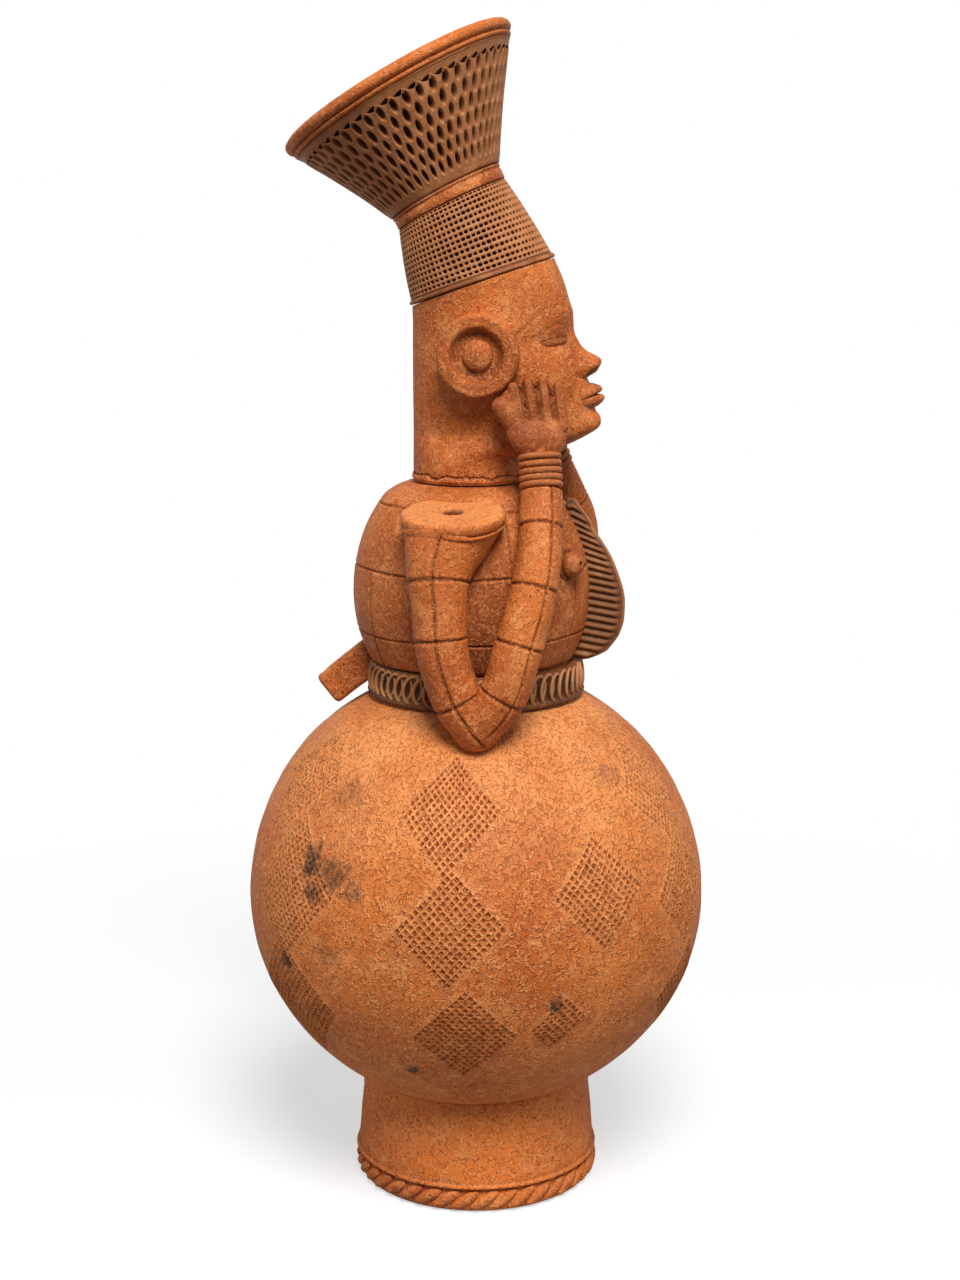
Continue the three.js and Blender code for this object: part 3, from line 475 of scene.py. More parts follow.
def addFloor():
    angles = wholeTurn(96)
    below = -ground["below"]
    rings = [[(0, 0, below)]]
    rings += [turnedRing(ground["radius"] * share, below, angles) for share in (0.2, 0.5, 1.0)]
    mesh = newMesh("floorCloth", flat(rings), skinFaces(rings))
    floor = newObject("floorCloth", mesh)
    material, tree = newMaterial("paleFloor")
    place = put(tree, "ShaderNodeTexCoord").outputs["Object"]
    away = put(tree, "ShaderNodeVectorMath", [(0, place)], operation="LENGTH").outputs["Value"]
    seen = put(tree, "ShaderNodeLightPath").outputs["Is Camera Ray"]
    tones = [(ground[label], ground[label], ground[label], 1.0) for label in ("bounceTone", "tone")]
    cloth = put(tree, "ShaderNodeBsdfDiffuse", [("Color", blendColours(tree, seen, *tones))])
    glow = put(tree, "ShaderNodeEmission", [("Color", (1, 1, 1, 1)), ("Strength", 1.0)])
    lift = multiply(tree, seen, ground["shadowLift"])
    cloth = put(tree, "ShaderNodeMixShader", [(0, lift), (1, cloth), (2, glow)])
    clear = put(tree, "ShaderNodeBsdfTransparent")
    share = spread(tree, away, ground["fadeFrom"], ground["fadeTo"])
    surface = put(tree, "ShaderNodeMixShader", [(0, share), (1, cloth), (2, clear)])
    put(tree, "ShaderNodeOutputMaterial", [("Surface", surface)])
    mesh.materials.append(material)


def lightWorld():
    world.use_nodes = True
    tree = world.node_tree
    tree.nodes.clear()
    path = put(tree, "ShaderNodeLightPath")
    seen = calculate(tree, "MAXIMUM", path.outputs["Is Camera Ray"], path.outputs["Is Glossy Ray"])
    seen = calculate(tree, "MAXIMUM", seen, path.outputs["Is Transmission Ray"])
    strength = spread(tree, seen, 0.0, 1.0, studio["skyStrength"], 1.0)
    sky = put(tree, "ShaderNodeBackground", [("Color", (1, 1, 1, 1)), ("Strength", strength)])
    put(tree, "ShaderNodeOutputWorld", [("Surface", sky)])


addFloor()
lightWorld()


# Geometry Nodes that repeat the potter's marks

def geometryTree(name, inputs):
    inputs = {"Geometry": "Geometry", **inputs, "Seed": 1, "Material": "Material"}
    return newGroup(name, "GeometryNodeTree", inputs, {"Geometry": "Geometry"})


def storeValue(tree, geometry, label, value, chosen=True):
    return put(tree, "GeometryNodeStoreNamedAttribute", [
        ("Geometry", geometry), ("Selection", chosen), ("Name", label), ("Value", value)],
        data_type="FLOAT", domain="POINT")


def randomSize(tree, given, high=1.0):
    # a size for each element, down to one less the unevenness
    low = calculate(tree, "SUBTRACT", 1.0, given["Unevenness"])
    return put(tree, "FunctionNodeRandomValue", [(2, low), (3, high), ("Seed", given["Seed"])],
               data_type="FLOAT").outputs[1]


def circle(tree, resolution, radius):
    return put(tree, "GeometryNodeCurvePrimitiveCircle", [("Resolution", resolution), ("Radius", radius)])


def coil(tree, course, sides, radius):
    wire = circle(tree, sides, radius)
    return put(tree, "GeometryNodeCurveToMesh", [("Curve", course), ("Profile Curve", wire)])


def transform(tree, geometry, label, value):
    return put(tree, "GeometryNodeTransform", [("Geometry", geometry), (label, value)])


def copyTo(tree, points, form, facing, size):
    placed = put(tree, "GeometryNodeInstanceOnPoints", [("Points", points), ("Instance", form),
                                                        ("Rotation", facing), ("Scale", size)])
    return put(tree, "GeometryNodeRealizeInstances", [("Geometry", placed)])


def ringOfCopies(tree, given, form, size):
    # copies of a form round a level ring, each turned along it
    lift = put(tree, "ShaderNodeCombineXYZ", [("Z", given["Height"])])
    ring = transform(tree, circle(tree, given["Count"], given["Radius"]), "Translation", lift)
    tangent = put(tree, "GeometryNodeInputTangent")
    facing = put(tree, "FunctionNodeAlignRotationToVector", [("Vector", tangent)], axis="X", pivot_axis="Z")
    return copyTo(tree, ring, form, facing, size)


def finishTree(tree, given, result, geometry, joined=False):
    # smooths and coats the geometry, joined to the given one where asked
    if joined:
        whole = put(tree, "GeometryNodeJoinGeometry")
        tree.links.new(given["Geometry"], whole.inputs[0])
        tree.links.new(geometry.outputs[0], whole.inputs[0])
        geometry = whole
    smooth = put(tree, "GeometryNodeSetShadeSmooth", [("Geometry", geometry)])
    coat = put(tree, "GeometryNodeSetMaterial", [("Geometry", smooth), ("Material", given["Material"])])
    tree.links.new(coat.outputs[0], result["Geometry"])
    return tree


def bakeModifiers(piece):
    evaluated = piece.evaluated_get(bpy.context.evaluated_depsgraph_get())
    mesh = bpy.data.meshes.new_from_object(evaluated)
    piece.modifiers.clear()
    piece.data = mesh


def applyTree(piece, tree, values):
    modifier = piece.modifiers.new(tree.name, "NODES")
    modifier.node_group = tree
    for item in tree.interface.items_tree:
        if item.item_type == "SOCKET" and item.in_out == "INPUT" and item.name in values:
            modifier[item.identifier] = values[item.name]
    bakeModifiers(piece)


def makePunchedCells():
    tree, given, result = geometryTree("punchedCells", {
        "Mouth": 0.74, "Bottom": 0.55, "Depth": 0.0011, "Burr": 0.0001, "Unevenness": 0.15, "Darkness": 1.0,
        "Pale Edge": 0.5, "Smoothing": 0})
    chosen = put(tree, "GeometryNodeInputNamedAttribute", [("Name", "punched")], data_type="BOOLEAN")
    chosen = chosen.outputs["Attribute"]
    size = randomSize(tree, given, calculate(tree, "ADD", 1.0, given["Unevenness"]))

    def extruded(geometry, faces, offset):
        return put(tree, "GeometryNodeExtrudeMesh", [("Mesh", geometry), ("Selection", faces),
                                                     ("Offset Scale", offset), ("Individual", True)],
                   mode="FACES")

    def scaled(extrusion, share):
        top = extrusion.outputs["Top"]
        return put(tree, "GeometryNodeScaleElements", [
            ("Geometry", extrusion), ("Selection", top), ("Scale", share)], domain="FACE")
    # painted highlight: the ridges round each pit are stored pale
    edged = storeValue(tree, given["Geometry"], "paleHighlight", given["Pale Edge"], chosen)
    ridge = extruded(edged, chosen, given["Burr"])
    mouth = scaled(ridge, multiply(tree, given["Mouth"], size))
    depth = multiply(tree, multiply(tree, given["Depth"], -1.0), size)
    well = extruded(mouth, ridge.outputs["Top"], depth)
    shaded = scaled(well, given["Bottom"])
    # painted shade: the pit floors are stored dark by the Darkness share
    for label, value in (("hollow", given["Darkness"]), ("paleHighlight", 0.0)):
        shaded = storeValue(tree, shaded, label, value, well.outputs["Top"])
    soft = put(tree, "GeometryNodeSubdivisionSurface", [("Mesh", shaded), ("Level", given["Smoothing"])])
    whole = put(tree, "GeometryNodeRealizeInstances", [("Geometry", soft)])
    return finishTree(tree, given, result, whole)


punchedCells = makePunchedCells()


def latticePiece(name, rows, isPunched, before, after):
    # diamond faces between rows that are shifted by half a step; plain rings before and after close the shell
    count, last = len(rows[0]), len(rows) - 1
    points, faces, punched = flat(rows), [], []

    def at(row, index):
        return row * count + index % count
    for row in range(last - 1):
        for index in range(count):
            right, left = (index, index - 1) if row % 2 == 0 else (index + 1, index)
            faces.append([at(row, index), at(row + 1, right), at(row + 2, index), at(row + 1, left)])
            punched.append(isPunched(index + (row % 2) / 2, row + 1))
    for index in range(count):
        faces.append([at(0, index), at(0, index + 1), at(1, index)])
        faces.append([at(last, index + 1), at(last, index), at(last - 1, index)])
    starts = {id(rows[0]): 0, id(rows[-1]): last * count}
    for ring in before + after:
        starts[id(ring)] = len(points)
        points += ring
    chain = [rows[-1]] + after
    chain = chain + [rows[0]] if not before else chain
    for rings in (before + [rows[0]] if before else [], chain):
        for lower, upper in zip(rings, rings[1:]):
            for index in range(count):
                corners = [starts[id(ring)] + place % len(ring) for ring, place in (
                    (lower, index), (lower, index + 1), (upper, index + 1), (upper, index))]
                faces.append(list(dict.fromkeys(corners)))
    punched += [False] * (len(faces) - len(punched))
    piece = pieceFrom(name, points, faces, *toneValues(points))
    markFaces(piece, punched)
    return piece


# belly

belly = {
    "radius": 80.8, "rise": 80.0, "drop": 77.1, "wall": 6.0, "neckRadius": 33.0, "neckHeight": 11.1,
    "cellsRound": 168, "cellRows": 110, "cellsAcross": 12, "cellsDown": 11, "footSeatRadius": 38.0,
    # degrees from the front toward the figure's right; lean moves the top diamond on and the bottom one back
    "columns": ((186, -3), (228, -6), (274, -2), (336, 3)), "columnHeights": (150.5, 116, 79),
    "singles": ((18, 151, 13, 12), (16, 117, 13, 12), (14, 80, 12, 11), (87, 150.5, 14, 13),
                (85.5, 115, 13, 12), (83, 78, 13, 12), (142, 156, 14, 13), (133, 121, 16, 15),
                (135, 80, 16, 16), (48, 124.5, 12, 12), (59, 81, 8, 6), (302, 81.5, 7, 5), (312, 123, 11, 9)),
    "pitMouth": 0.76, "pitBottom": 0.66, "pitDepth": 0.75, "wobble": 0.6,
    # pits below fadeTop grow shallower, with less painted shade in them and less painted highlight on their
    # ridges toward fadeBottom
    "fadeBottom": 75, "fadeTop": 135, "lowLift": 0.22, "hollowFade": (0.4, 1.25), "highlightFade": (0.2, 1.0),
}
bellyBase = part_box("belly")[0][2] / mm
belly["centre"] = bellyBase + belly["drop"]
bellyShoulder = belly["centre"] + arcHeight(belly, "rise", belly["neckRadius"])
bellyNeckTop = bellyShoulder + belly["neckHeight"]

sootSpots = (  # degrees toward the figure's right, height, size, strength
    (125.5, 131, 11, 1.0), (123.5, 122, 9, 0.95), (118, 129, 12, 0.85), (111.5, 125, 9, 0.6),
    (134, 94.5, 6, 0.9), (118, 103, 9, 0.4), (98.5, 60.5, 5, 1.0), (60.5, 88, 6, 1.0), (121, 153, 12, 0.4),
    (33, 158, 11, 0.35), (200, 130, 12, 0.8), (250, 90, 10, 0.7), (300, 140, 11, 0.5),
)


def bellySpot(degreesRight, up):
    return Vector(around(arcRadius(belly, up - belly["centre"]), -radians(degreesRight), up)) * mm


sootGroup = makeSoot([(bellySpot(degrees, up), size * mm, strength)
                      for degrees, up, size, strength in sootSpots])
orange = {"pale": (228, 150, 90), "soilAndShade": (92, 40, 16)}
bellyTones = tonesOf((203, 113, 49), (172, 84, 33), (232, 156, 96), (122, 52, 18))
orangeTones = tonesOf((192, 103, 43), (158, 76, 30), **orange)
# a brighter copy of the orange clay: painted light on the foot, which the lamps reach less
footTones = tonesOf((212, 115, 49), (180, 90, 36), **orange)
# a darker copy of the orange clay: painted shade with some soot on the torso, and painted shade on the slab,
# ears and collar
torsoTones = tonesOf((184, 97, 41), (138, 66, 28), **orange)
# a darker copy of the orange clay: painted shade on the hands, shared by the lips, eyelids, nipples and wrist
# rings
handTones = tonesOf((162, 82, 36), (132, 62, 24), **orange)
brownTones = tonesOf((138, 80, 44), (112, 62, 32), (206, 140, 90), (34, 14, 7), 1.0)
darkTones = tonesOf((112, 64, 34), (80, 42, 21), (190, 132, 86), (30, 13, 7), 1.0)
bellyClay = makeClay("bellyClay", bellyTones, depth=0.6, cracks=0.5, soot=sootGroup)
orangeClay = makeClay("orangeClay", orangeTones, cover=0.8, cracks=0.3)
footClay = makeClay("footClay", footTones, cracks=0.3)
torsoClay = makeClay("torsoClay", torsoTones, cover=0.8, cracks=0.4)
smoothClay = makeClay("smoothClay", handTones, cover=0.45)
brownClay = makeClay("brownClay", brownTones, cover=0.2, depth=0.3)
darkClay = makeClay("darkClay", darkTones, cover=0.2, depth=0.3)


def bellyPoint(inset, climb, angle, steady=False):
    radius, up = halfArc(belly, climb, inset)
    rough = around(radius, angle, up)
    if steady:
        return rough
    angle += belly["wobble"] * unevenness(rough, 13, 3.1) / max(radius, 20)
    climb += belly["wobble"] * unevenness(rough, 10, 7.7) / belly["radius"]
    dent = 0.55 + 0.5 * unevenness(rough, 42, 1.3) + 0.16 * unevenness(rough, 9, 5.2)
    radius, up = halfArc(belly, climb, inset + max(0.05, dent), inset + dent / 2)
    # painted highlight: the belly is made paler toward its top, lit from above
    upperHighlight = 0.75 * eased((up - belly["centre"]) / 70) * clamp(0.7 + unevenness(rough, 22, 8.3))
    return (*around(radius, angle, up), 0.0, upperHighlight)


def makeBelly():
    count, rowCount = belly["cellsRound"], belly["cellRows"]
    low = -acos(belly["footSeatRadius"] / belly["radius"])
    high = acos((belly["neckRadius"] + 0.6) / belly["radius"])
    rows = []
    for row in range(rowCount + 1):
        climb = mix(low, high, row / rowCount)
        turns = [2 * pi * (index + (row % 2) / 2) / count for index in range(count)]
        rows.append([bellyPoint(0, climb, angle) for angle in turns])
    angles = wholeTurn(count)
    inside = belly["neckRadius"] - belly["wall"]
    liner = [turnedRing(belly["neckRadius"] + 0.15, bellyShoulder + 2, angles)]
    liner += [turnedRing(radius, up, angles) for radius, up in (
        (belly["neckRadius"], bellyNeckTop - 0.6), (belly["neckRadius"] - 0.6, bellyNeckTop),
        (inside + 0.6, bellyNeckTop), (inside, bellyNeckTop - 0.6))]
    insideTop = acos(inside / (belly["radius"] - belly["wall"]))
    for step in range(33):
        climb = mix(insideTop, -pi / 2, step / 33)
        liner.append([bellyPoint(belly["wall"], climb, angle, steady=True) for angle in angles])
    liner.append([(0, 0, bellyBase + belly["wall"])])
    under = [[(0, 0, bellyBase)]]
    for step in range(1, 9):
        climb = mix(-pi / 2, low, step / 9)
        under.append([bellyPoint(0, climb, angle, steady=True) for angle in angles])
    centres = [(degrees + lean * (1 - level), up, belly["cellsAcross"], belly["cellsDown"])
               for degrees, lean in belly["columns"] for level, up in enumerate(belly["columnHeights"])]
    groups = []
    for degrees, up, across, down in centres + list(belly["singles"]):
        climb = asin((up - belly["centre"]) / (belly["rise"] if up > belly["centre"] else belly["drop"]))
        groups.append((-degrees / 360 * count, (climb - low) / (high - low) * rowCount, across, down))

    def isPunched(column, row):
        for middle, level, across, down in groups:
            aside = (column - middle + count / 2) % count - count / 2
            along = aside + (row - level) / 2
            against = aside - (row - level) / 2
            if abs(along) < across / 2 and abs(against) < down / 2:
                return True
        return False
    shell = latticePiece("belly_shell", rows, isPunched, under, liner)
    # the pits' floors get painted shade and the ridges round them painted highlight
    applyTree(shell, punchedCells, {
        "Mouth": belly["pitMouth"], "Bottom": belly["pitBottom"], "Depth": belly["pitDepth"] * mm,
        "Burr": 0.15 * mm, "Unevenness": 0.16, "Darkness": 0.8, "Pale Edge": 0.75, "Seed": 4,
        "Material": bellyClay})
    # the lamp from above leaves the lower fields' pits dark by itself
    middle = Vector((0, 0, belly["centre"])) * mm
    hollow, paleHighlight = (shell.data.attributes[label].data for label in ("hollow", "paleHighlight"))
    for index, vertex in enumerate(shell.data.vertices):
        share = clamp((vertex.co.z / mm - belly["fadeBottom"]) / (belly["fadeTop"] - belly["fadeBottom"]))
        if hollow[index].value > 0:
            vertex.co += (vertex.co - middle).normalized() * belly["lowLift"] * mm * (1 - share)
        hollow[index].value *= mix(*belly["hollowFade"], share)
        paleHighlight[index].value *= mix(*belly["highlightFade"], share)
    dress(shell, bellyClay, "terracotta", "belly")


makeBelly()
print("belly punched")


# foot ring and its rope border

foot = {"seat": 39.1, "topRadius": 40.8, "lipRadius": 43.9, "wall": 6.5, "lipHeight": 1.7, "ropeSeat": 40.0,
        "ropeHeight": 8.2, "ropeOut": 4.6, "ropeLobes": 39, "ropeLean": -33.0}


def softOutline(corners, step, looped=True):
    # dense points of a smooth line through the corners; a looped one comes back to its first corner
    ends = corners + [corners[0]] if looped else corners
    at, length = smoothPath([(radius, 0, up) for radius, up in ends])
    count = ceil(length / step)
    dense = [at(index / count) for index in range(count + (0 if looped else 1))]
    return [(point.x, point.z) for point in dense]


def bright(radius, up):
    return 0.0


def turnedPiece(name, outline, columns, rough=0.0, hollowAt=bright):
    rings = []
    for radius, up in outline:
        ring = []
        for angle in wholeTurn(columns):
            point = around(radius, angle, up)
            shrink = rough * (0.5 + unevenness(point, 17, 2.2) + 0.4 * unevenness(point, 5, 8.1))
            reach = radius - max(0.0, shrink)
            ring.append((*around(reach, angle, max(up, 0.03)), hollowAt(radius, up)))
        rings.append(ring)
    return skinPiece(name, rings, looped=True)


def makeFoot():
    base, seat, wall = foot["ropeHeight"] + 0.3, foot["seat"], foot["wall"]
    low, lip, top, lipTop = foot["ropeSeat"], foot["lipRadius"], foot["topRadius"], base + foot["lipHeight"]
    corners = [
        (low - wall, 0.0), (low - 3, 0.0), (low - 0.2, 0.1), (low, 1.0), (low, base - 0.8), (low + 1.0, base),
        (lip - 0.9, base + 0.1), (lip, base + 0.9), (lip - 0.2, lipTop - 0.4), (lip - 0.8, lipTop + 0.1),
        (lip - 1.05, lipTop + 0.9), (lip - 1.2, lipTop + 3.2), (top + 1.2, seat * 0.55),
        (top + 0.3, seat * 0.8), (top + 0.1, seat - 1), (top - 0.2, seat + 0.6), (top - 2.2, seat - 0.9),
        (top - wall, seat - 2.4), (top - wall - 0.3, seat - 8), (top - wall, seat / 2), (low - wall, 4.0),
    ]

    def dark(radius, up):
        # painted shade in the crease just above the lip
        return 0.7 * bell(up - lipTop - 0.7, 0.45) * (radius > low)
    ring = turnedPiece("foot_shell", softOutline(corners, 0.7), 200, rough=0.35, hollowAt=dark)
    dress(ring, footClay, "terracotta", "foot_ring")


def makeRopeLobes():
    tree, given, result = geometryTree("ropeLobes", {
        "Count": 38, "Radius": 0.0425, "Height": 0.004, "Lobe Size": (0.0052, 0.0022, 0.0034), "Lean": 0.6,
        "Unevenness": 0.08})
    lobe = put(tree, "GeometryNodeMeshUVSphere", [("Segments", 14), ("Rings", 9), ("Radius", 1.0)])
    lean = put(tree, "ShaderNodeCombineXYZ", [("Y", given["Lean"])])
    turned = transform(tree, transform(tree, lobe, "Scale", given["Lobe Size"]), "Rotation", lean)
    size = randomSize(tree, given, calculate(tree, "ADD", 1.0, given["Unevenness"]))
    return finishTree(tree, given, result, ringOfCopies(tree, given, turned, size), joined=True)


def makeRope():
    inner = foot["ropeSeat"] + 0.25
    outer = foot["ropeSeat"] + foot["ropeOut"]
    height = foot["ropeHeight"]
    corners = [(inner, 0.05), (outer - 3.1, 0.05), (outer - 2.6, 1.2), (outer - 2.5, height / 2),
               (outer - 2.9, height - 1), (outer - 3.4, height - 0.1), (inner, height - 0.1),
               (inner, height / 2)]
    core = turnedPiece("foot_rope_strands", softOutline(corners, 0.9), 152)
    applyTree(core, makeRopeLobes(), {
        "Count": foot["ropeLobes"], "Radius": (outer - 2.9) * mm, "Height": (height / 2 + 0.2) * mm,
        "Lobe Size": (6.0 * mm, 2.1 * mm, 2.1 * mm), "Lean": radians(foot["ropeLean"]), "Unevenness": 0.04,
        "Seed": 3, "Material": orangeClay})
    dress(core, orangeClay, "terracotta", "foot_rope")


makeFoot()
makeRope()
print("foot made")


# torso, with its scored lines

torso = {
    "forward": -1.4, "radius": 41.6, "rise": 48.7, "drop": 45.2, "footRadius": 35.5, "shoulderRadius": 30.5,
    "topRadius": 20.5, "topRise": 5.0, "wall": 5.0, "seatHole": 14.4,
    "lines": (201.0, 223.2, 244.6), "meridians": (22, 60, 98, 137, 180), "lineWidth": 0.5, "lineDepth": 0.7,
    # painted shade and soot between the arms: angle to each side and its spread in radians, and the height
    # where it ends
    "shadeAngle": 1.4, "shadeSpread": 0.5, "shadeTop": 236, "shade": 0.5,
}
torso["base"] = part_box("torso")[0][2] / mm
torso["centre"] = torso["base"] + arcHeight(torso, "drop", torso["footRadius"])
torso["shoulder"] = torso["centre"] + arcHeight(torso, "rise", torso["shoulderRadius"])
torso["top"] = torso["shoulder"] + torso["topRise"]


def torsoClimb(up):
    height = up - torso["centre"]
    return asin(clamp(height / (torso["rise"] if height > 0 else torso["drop"]), -1, 1))


def makeTorso():
    meridians = [radians(side * degrees) for degrees in torso["meridians"] for side in (-1, 1)]
    meridians = sorted({round(angle % (2 * pi), 5) for angle in meridians})
    lineClimbs = [torsoClimb(up) for up in torso["lines"]]
    width = torso["lineWidth"] / torso["radius"]
    angles = stations(0, 2 * pi, radians(2.4), meridians, width)[:-1]
    low = -acos(torso["footRadius"] / torso["radius"])
    high = acos(torso["shoulderRadius"] / torso["radius"])
    rings = []
    for climb in stations(low, high, radians(2.0), lineClimbs, width):
        ring = []
        for angle in angles:
            radius, up = halfArc(torso, climb)
            rough = around(radius, angle, up)
            turned = angle + 0.7 * unevenness(rough, 23, 4.4) / radius
            climbShift = 0.7 * unevenness(rough, 21, 9.4) / torso["radius"]
            groove, deep = 0.0, 0.0
            nearLine = min(abs(climb - mark) for mark in lineClimbs) * torso["radius"]
            nearMeridian = min(angleBetween(angle, mark) for mark in meridians) * radius
            fades = eased((0.5 + unevenness(rough, 15, 6.6)) * 3)
            for distance in (nearLine, nearMeridian):
                groove += cut(distance, torso["lineWidth"], torso["lineDepth"] * mix(0.65, 1, fades), 0.1)
                # painted shade along the scored lines
                deep = max(deep, bell(distance, torso["lineWidth"] * 0.75))
            radius, up = halfArc(torso, climb + climbShift)
            dent = 0.25 + 0.3 * unevenness(rough, 26, 1.9) + 0.1 * unevenness(rough, 7, 3.3)
            radius = min(torso["radius"], radius - dent) + groove * cos(climb)
            up += groove * sin(climb)
            # painted shade and soot between the arms
            aside = min(angleBetween(angle, side * torso["shadeAngle"]) for side in (-1, 1))
            shade = torso["shade"] * bell(aside, torso["shadeSpread"]) * clamp((torso["shadeTop"] - up) / 10)
            ring.append((*around(radius, turned, up, torso["forward"]), max(0.8 * deep, shade)))
        rings.append(ring)
    wide, hole, shoulder, top = torso["shoulderRadius"], torso["seatHole"], torso["shoulder"], torso["top"]
    lid = [(wide - 0.9, shoulder + 0.75), (wide - 2.6, shoulder + 1.9), (26, shoulder + 3.0),
           (23.4, top - 1.0), (21.2, top - 0.35), (19.6, top - 0.15), (hole + 0.4, top - 0.2),
           (hole, top - 1), (hole, top - torso["wall"])]
    for radius, up in lid:
        ring = []
        for angle in angles:
            rough = around(radius, angle, up)
            sunk = 0.1 + 0.25 * unevenness(rough, 9, 5.1) ** 2
            ring.append((rough[0], rough[1] - torso["forward"], up - sunk))
        rings.append(ring)
    inset = torso["wall"]
    for step in range(13):
        climb = mix(acos((torso["shoulderRadius"] - inset) / (torso["radius"] - inset)), low, step / 12)
        radius, up = halfArc(torso, climb, inset)
        rings.append(turnedRing(radius, max(up, torso["base"]), angles, torso["forward"]))
    body = skinPiece("torso_shell", rings, looped=True)
    dress(body, torsoClay, "terracotta", "torso")


makeTorso()
print("torso scored")


# waist belt of leaning clay loops

belt = {"inner": 33.3, "thickness": 5.2, "height": 12.6, "loops": 56, "loopWidth": 6.9, "loopHeight": 11.3,
        "wire": 0.64, "lean": 17.0}


def makeBeltLoops():
    tree, given, result = geometryTree("beltLoops", {
        "Count": 56, "Radius": 0.037, "Height": 0.18, "Loop Size": (0.0034, 0.0055, 1.0), "Wire": 0.0009,
        "Lean": (1.5708, 0.3, 0.2), "Unevenness": 0.08})
    oval = transform(tree, circle(tree, 20, 1.0), "Scale", given["Loop Size"])
    upright = transform(tree, coil(tree, oval, 7, given["Wire"]), "Rotation", given["Lean"])
    copies = ringOfCopies(tree, given, upright, randomSize(tree, given))
    # painted highlight: the loops are stored pale
    return finishTree(tree, given, result, storeValue(tree, copies, "paleHighlight", 0.9), joined=True)


def makeBelt():
    base = torso["base"] - 0.3 - belt["height"]
    inner, outer = belt["inner"], belt["inner"] + belt["thickness"]
    height = belt["height"]
    top = base + height
    corners = [(inner, base + 1), (inner + 1, base + 0.3), (outer - 1.6, base + 0.4),
               (outer - 0.5, base + 1.6), (outer - 1.9, base + 3.2), (outer - 2.3, base + height / 2),
               (outer - 2.2, top - 2.4), (outer - 1.8, top - 0.9), (inner + 1, top - 0.3), (inner, top - 1)]

    def dark(radius, up):
        # painted shade on the band behind the loops
        return 0.9 * (radius > outer - 3) * bell(up - base - height / 2, height * 0.34)
    band = turnedPiece("belt_coils", softOutline(corners, 0.8), 168, hollowAt=dark)
    applyTree(band, makeBeltLoops(), {
        "Count": belt["loops"], "Radius": (outer - 1.95) * mm, "Height": (base + height / 2 + 0.4) * mm,
        "Loop Size": (belt["loopWidth"] / 2 * mm, (belt["loopHeight"] - 2 * belt["wire"]) / 2 * mm, 1.0),
        "Wire": belt["wire"] * mm, "Lean": (pi / 2, radians(belt["lean"]), radians(13)), "Unevenness": 0.09,
        "Seed": 6, "Material": darkClay})
    dress(band, darkClay, "dark_clay", "waist_belt")


makeBelt()
print("belt looped")


# chest crest: a fin down the front with drooping ribs on both faces

crest = {
    "reach": 11.6, "top": 32.0, "bottom": 27.0, "ribs": 22, "halfPlate": 1.2, "halfRib": 2.5, "droop": 9.0,
    "topDroop": 30.0, "smoothFrom": 0.84,
    # height above the torso's widest place, share of the full reach
    "edge": ((32, 0.05), (24, 0.5), (11.5, 0.76), (-2, 0.97), (-10, 1.0), (-14.5, 0.96), (-20, 0.8),
             (-23.5, 0.5), (-26, 0.2)),
}


def torsoFront(height):
    return torso["forward"] + max(torso["footRadius"], arcRadius(torso, height))


def crestReachAt(height):
    edge = crest["edge"]
    if height >= edge[0][0]:
        return crest["reach"] * edge[0][1]
    for (high, first), (low, second) in zip(edge, edge[1:]):
        if height >= low:
            share = (high - height) / (high - low)
            return crest["reach"] * mix(first, second, eased(share) * 0.35 + share * 0.65)
    return crest["reach"] * edge[-1][1]


def makeCrest():
    rowCount = crest["ribs"] * 9
    faceSteps, rimSteps = 13, 6
    rings = []
    for row in range(rowCount + 1):
        share = row / rowCount
        root = mix(crest["top"] + 0.5, -crest["bottom"] + 3.2, share)
        slope = sin(radians(mix(crest["topDroop"], crest["droop"], eased(share * 1.7))))
        reach = crestReachAt(root)
        for _ in range(4):
            reach = crestReachAt(root - reach * slope)
        reach *= sqrt(clamp(1 - (2 * share - 1) ** 22))
        wave = (0.5 + 0.5 * cos(2 * pi * crest["ribs"] * share)) ** 0.45
        inner = torsoFront(root) - 2.5

        def spot(out, side, dark=0.0, pale=0.0):
            forward = inner + out
            height = torso["centre"] + root - max(0, out - 2.5) * slope
            return (side, -forward, height, dark, pale)
        ring = []
        length = reach + 2.5
        for step in range(faceSteps + 1):
            along = step / faceSteps
            rib = (1 - eased((along - crest["smoothFrom"]) / 0.1)) * eased(along * 8)
            half = mix(crest["halfPlate"], crest["halfRib"], wave * rib)
            half += 0.25 * bell(along - 1, 0.06)
            half *= clamp(min(share, 1 - share) * 30, 0.3, 1)
            # painted shade in the gaps between the ribs and painted highlight on the ribs
            ring.append(spot(length * along * 0.985, half, 0.95 * (1 - wave) * rib, 0.3 * wave * rib))
        lastHalf = ring[-1][0]
        for step in range(1, rimSteps):
            turn = pi * step / rimSteps
            # painted highlight along the fin's edge
            ring.append(spot(length * 0.985 + 0.9 * sin(turn), lastHalf * cos(turn), 0.0, 0.55))
        ring += [(-x, y, z, dark, pale) for x, y, z, dark, pale in reversed(ring[:faceSteps + 1])]
        rings.append(ring)
    ends = [[tuple(sum(point[axis] for point in ring) / len(ring) for axis in range(3))]
            for ring in (rings[0], rings[-1])]
    fin = skinPiece("chest_fin", [ends[0]] + rings + [ends[1]])
    dress(fin, darkClay, "dark_clay", "chest_crest")


# nipples and the slab at the back of the waist

nipple = {"radius": 4.8, "angle": 27.0, "above": 12.5, "reach": 6.0, "hole": 0.9}


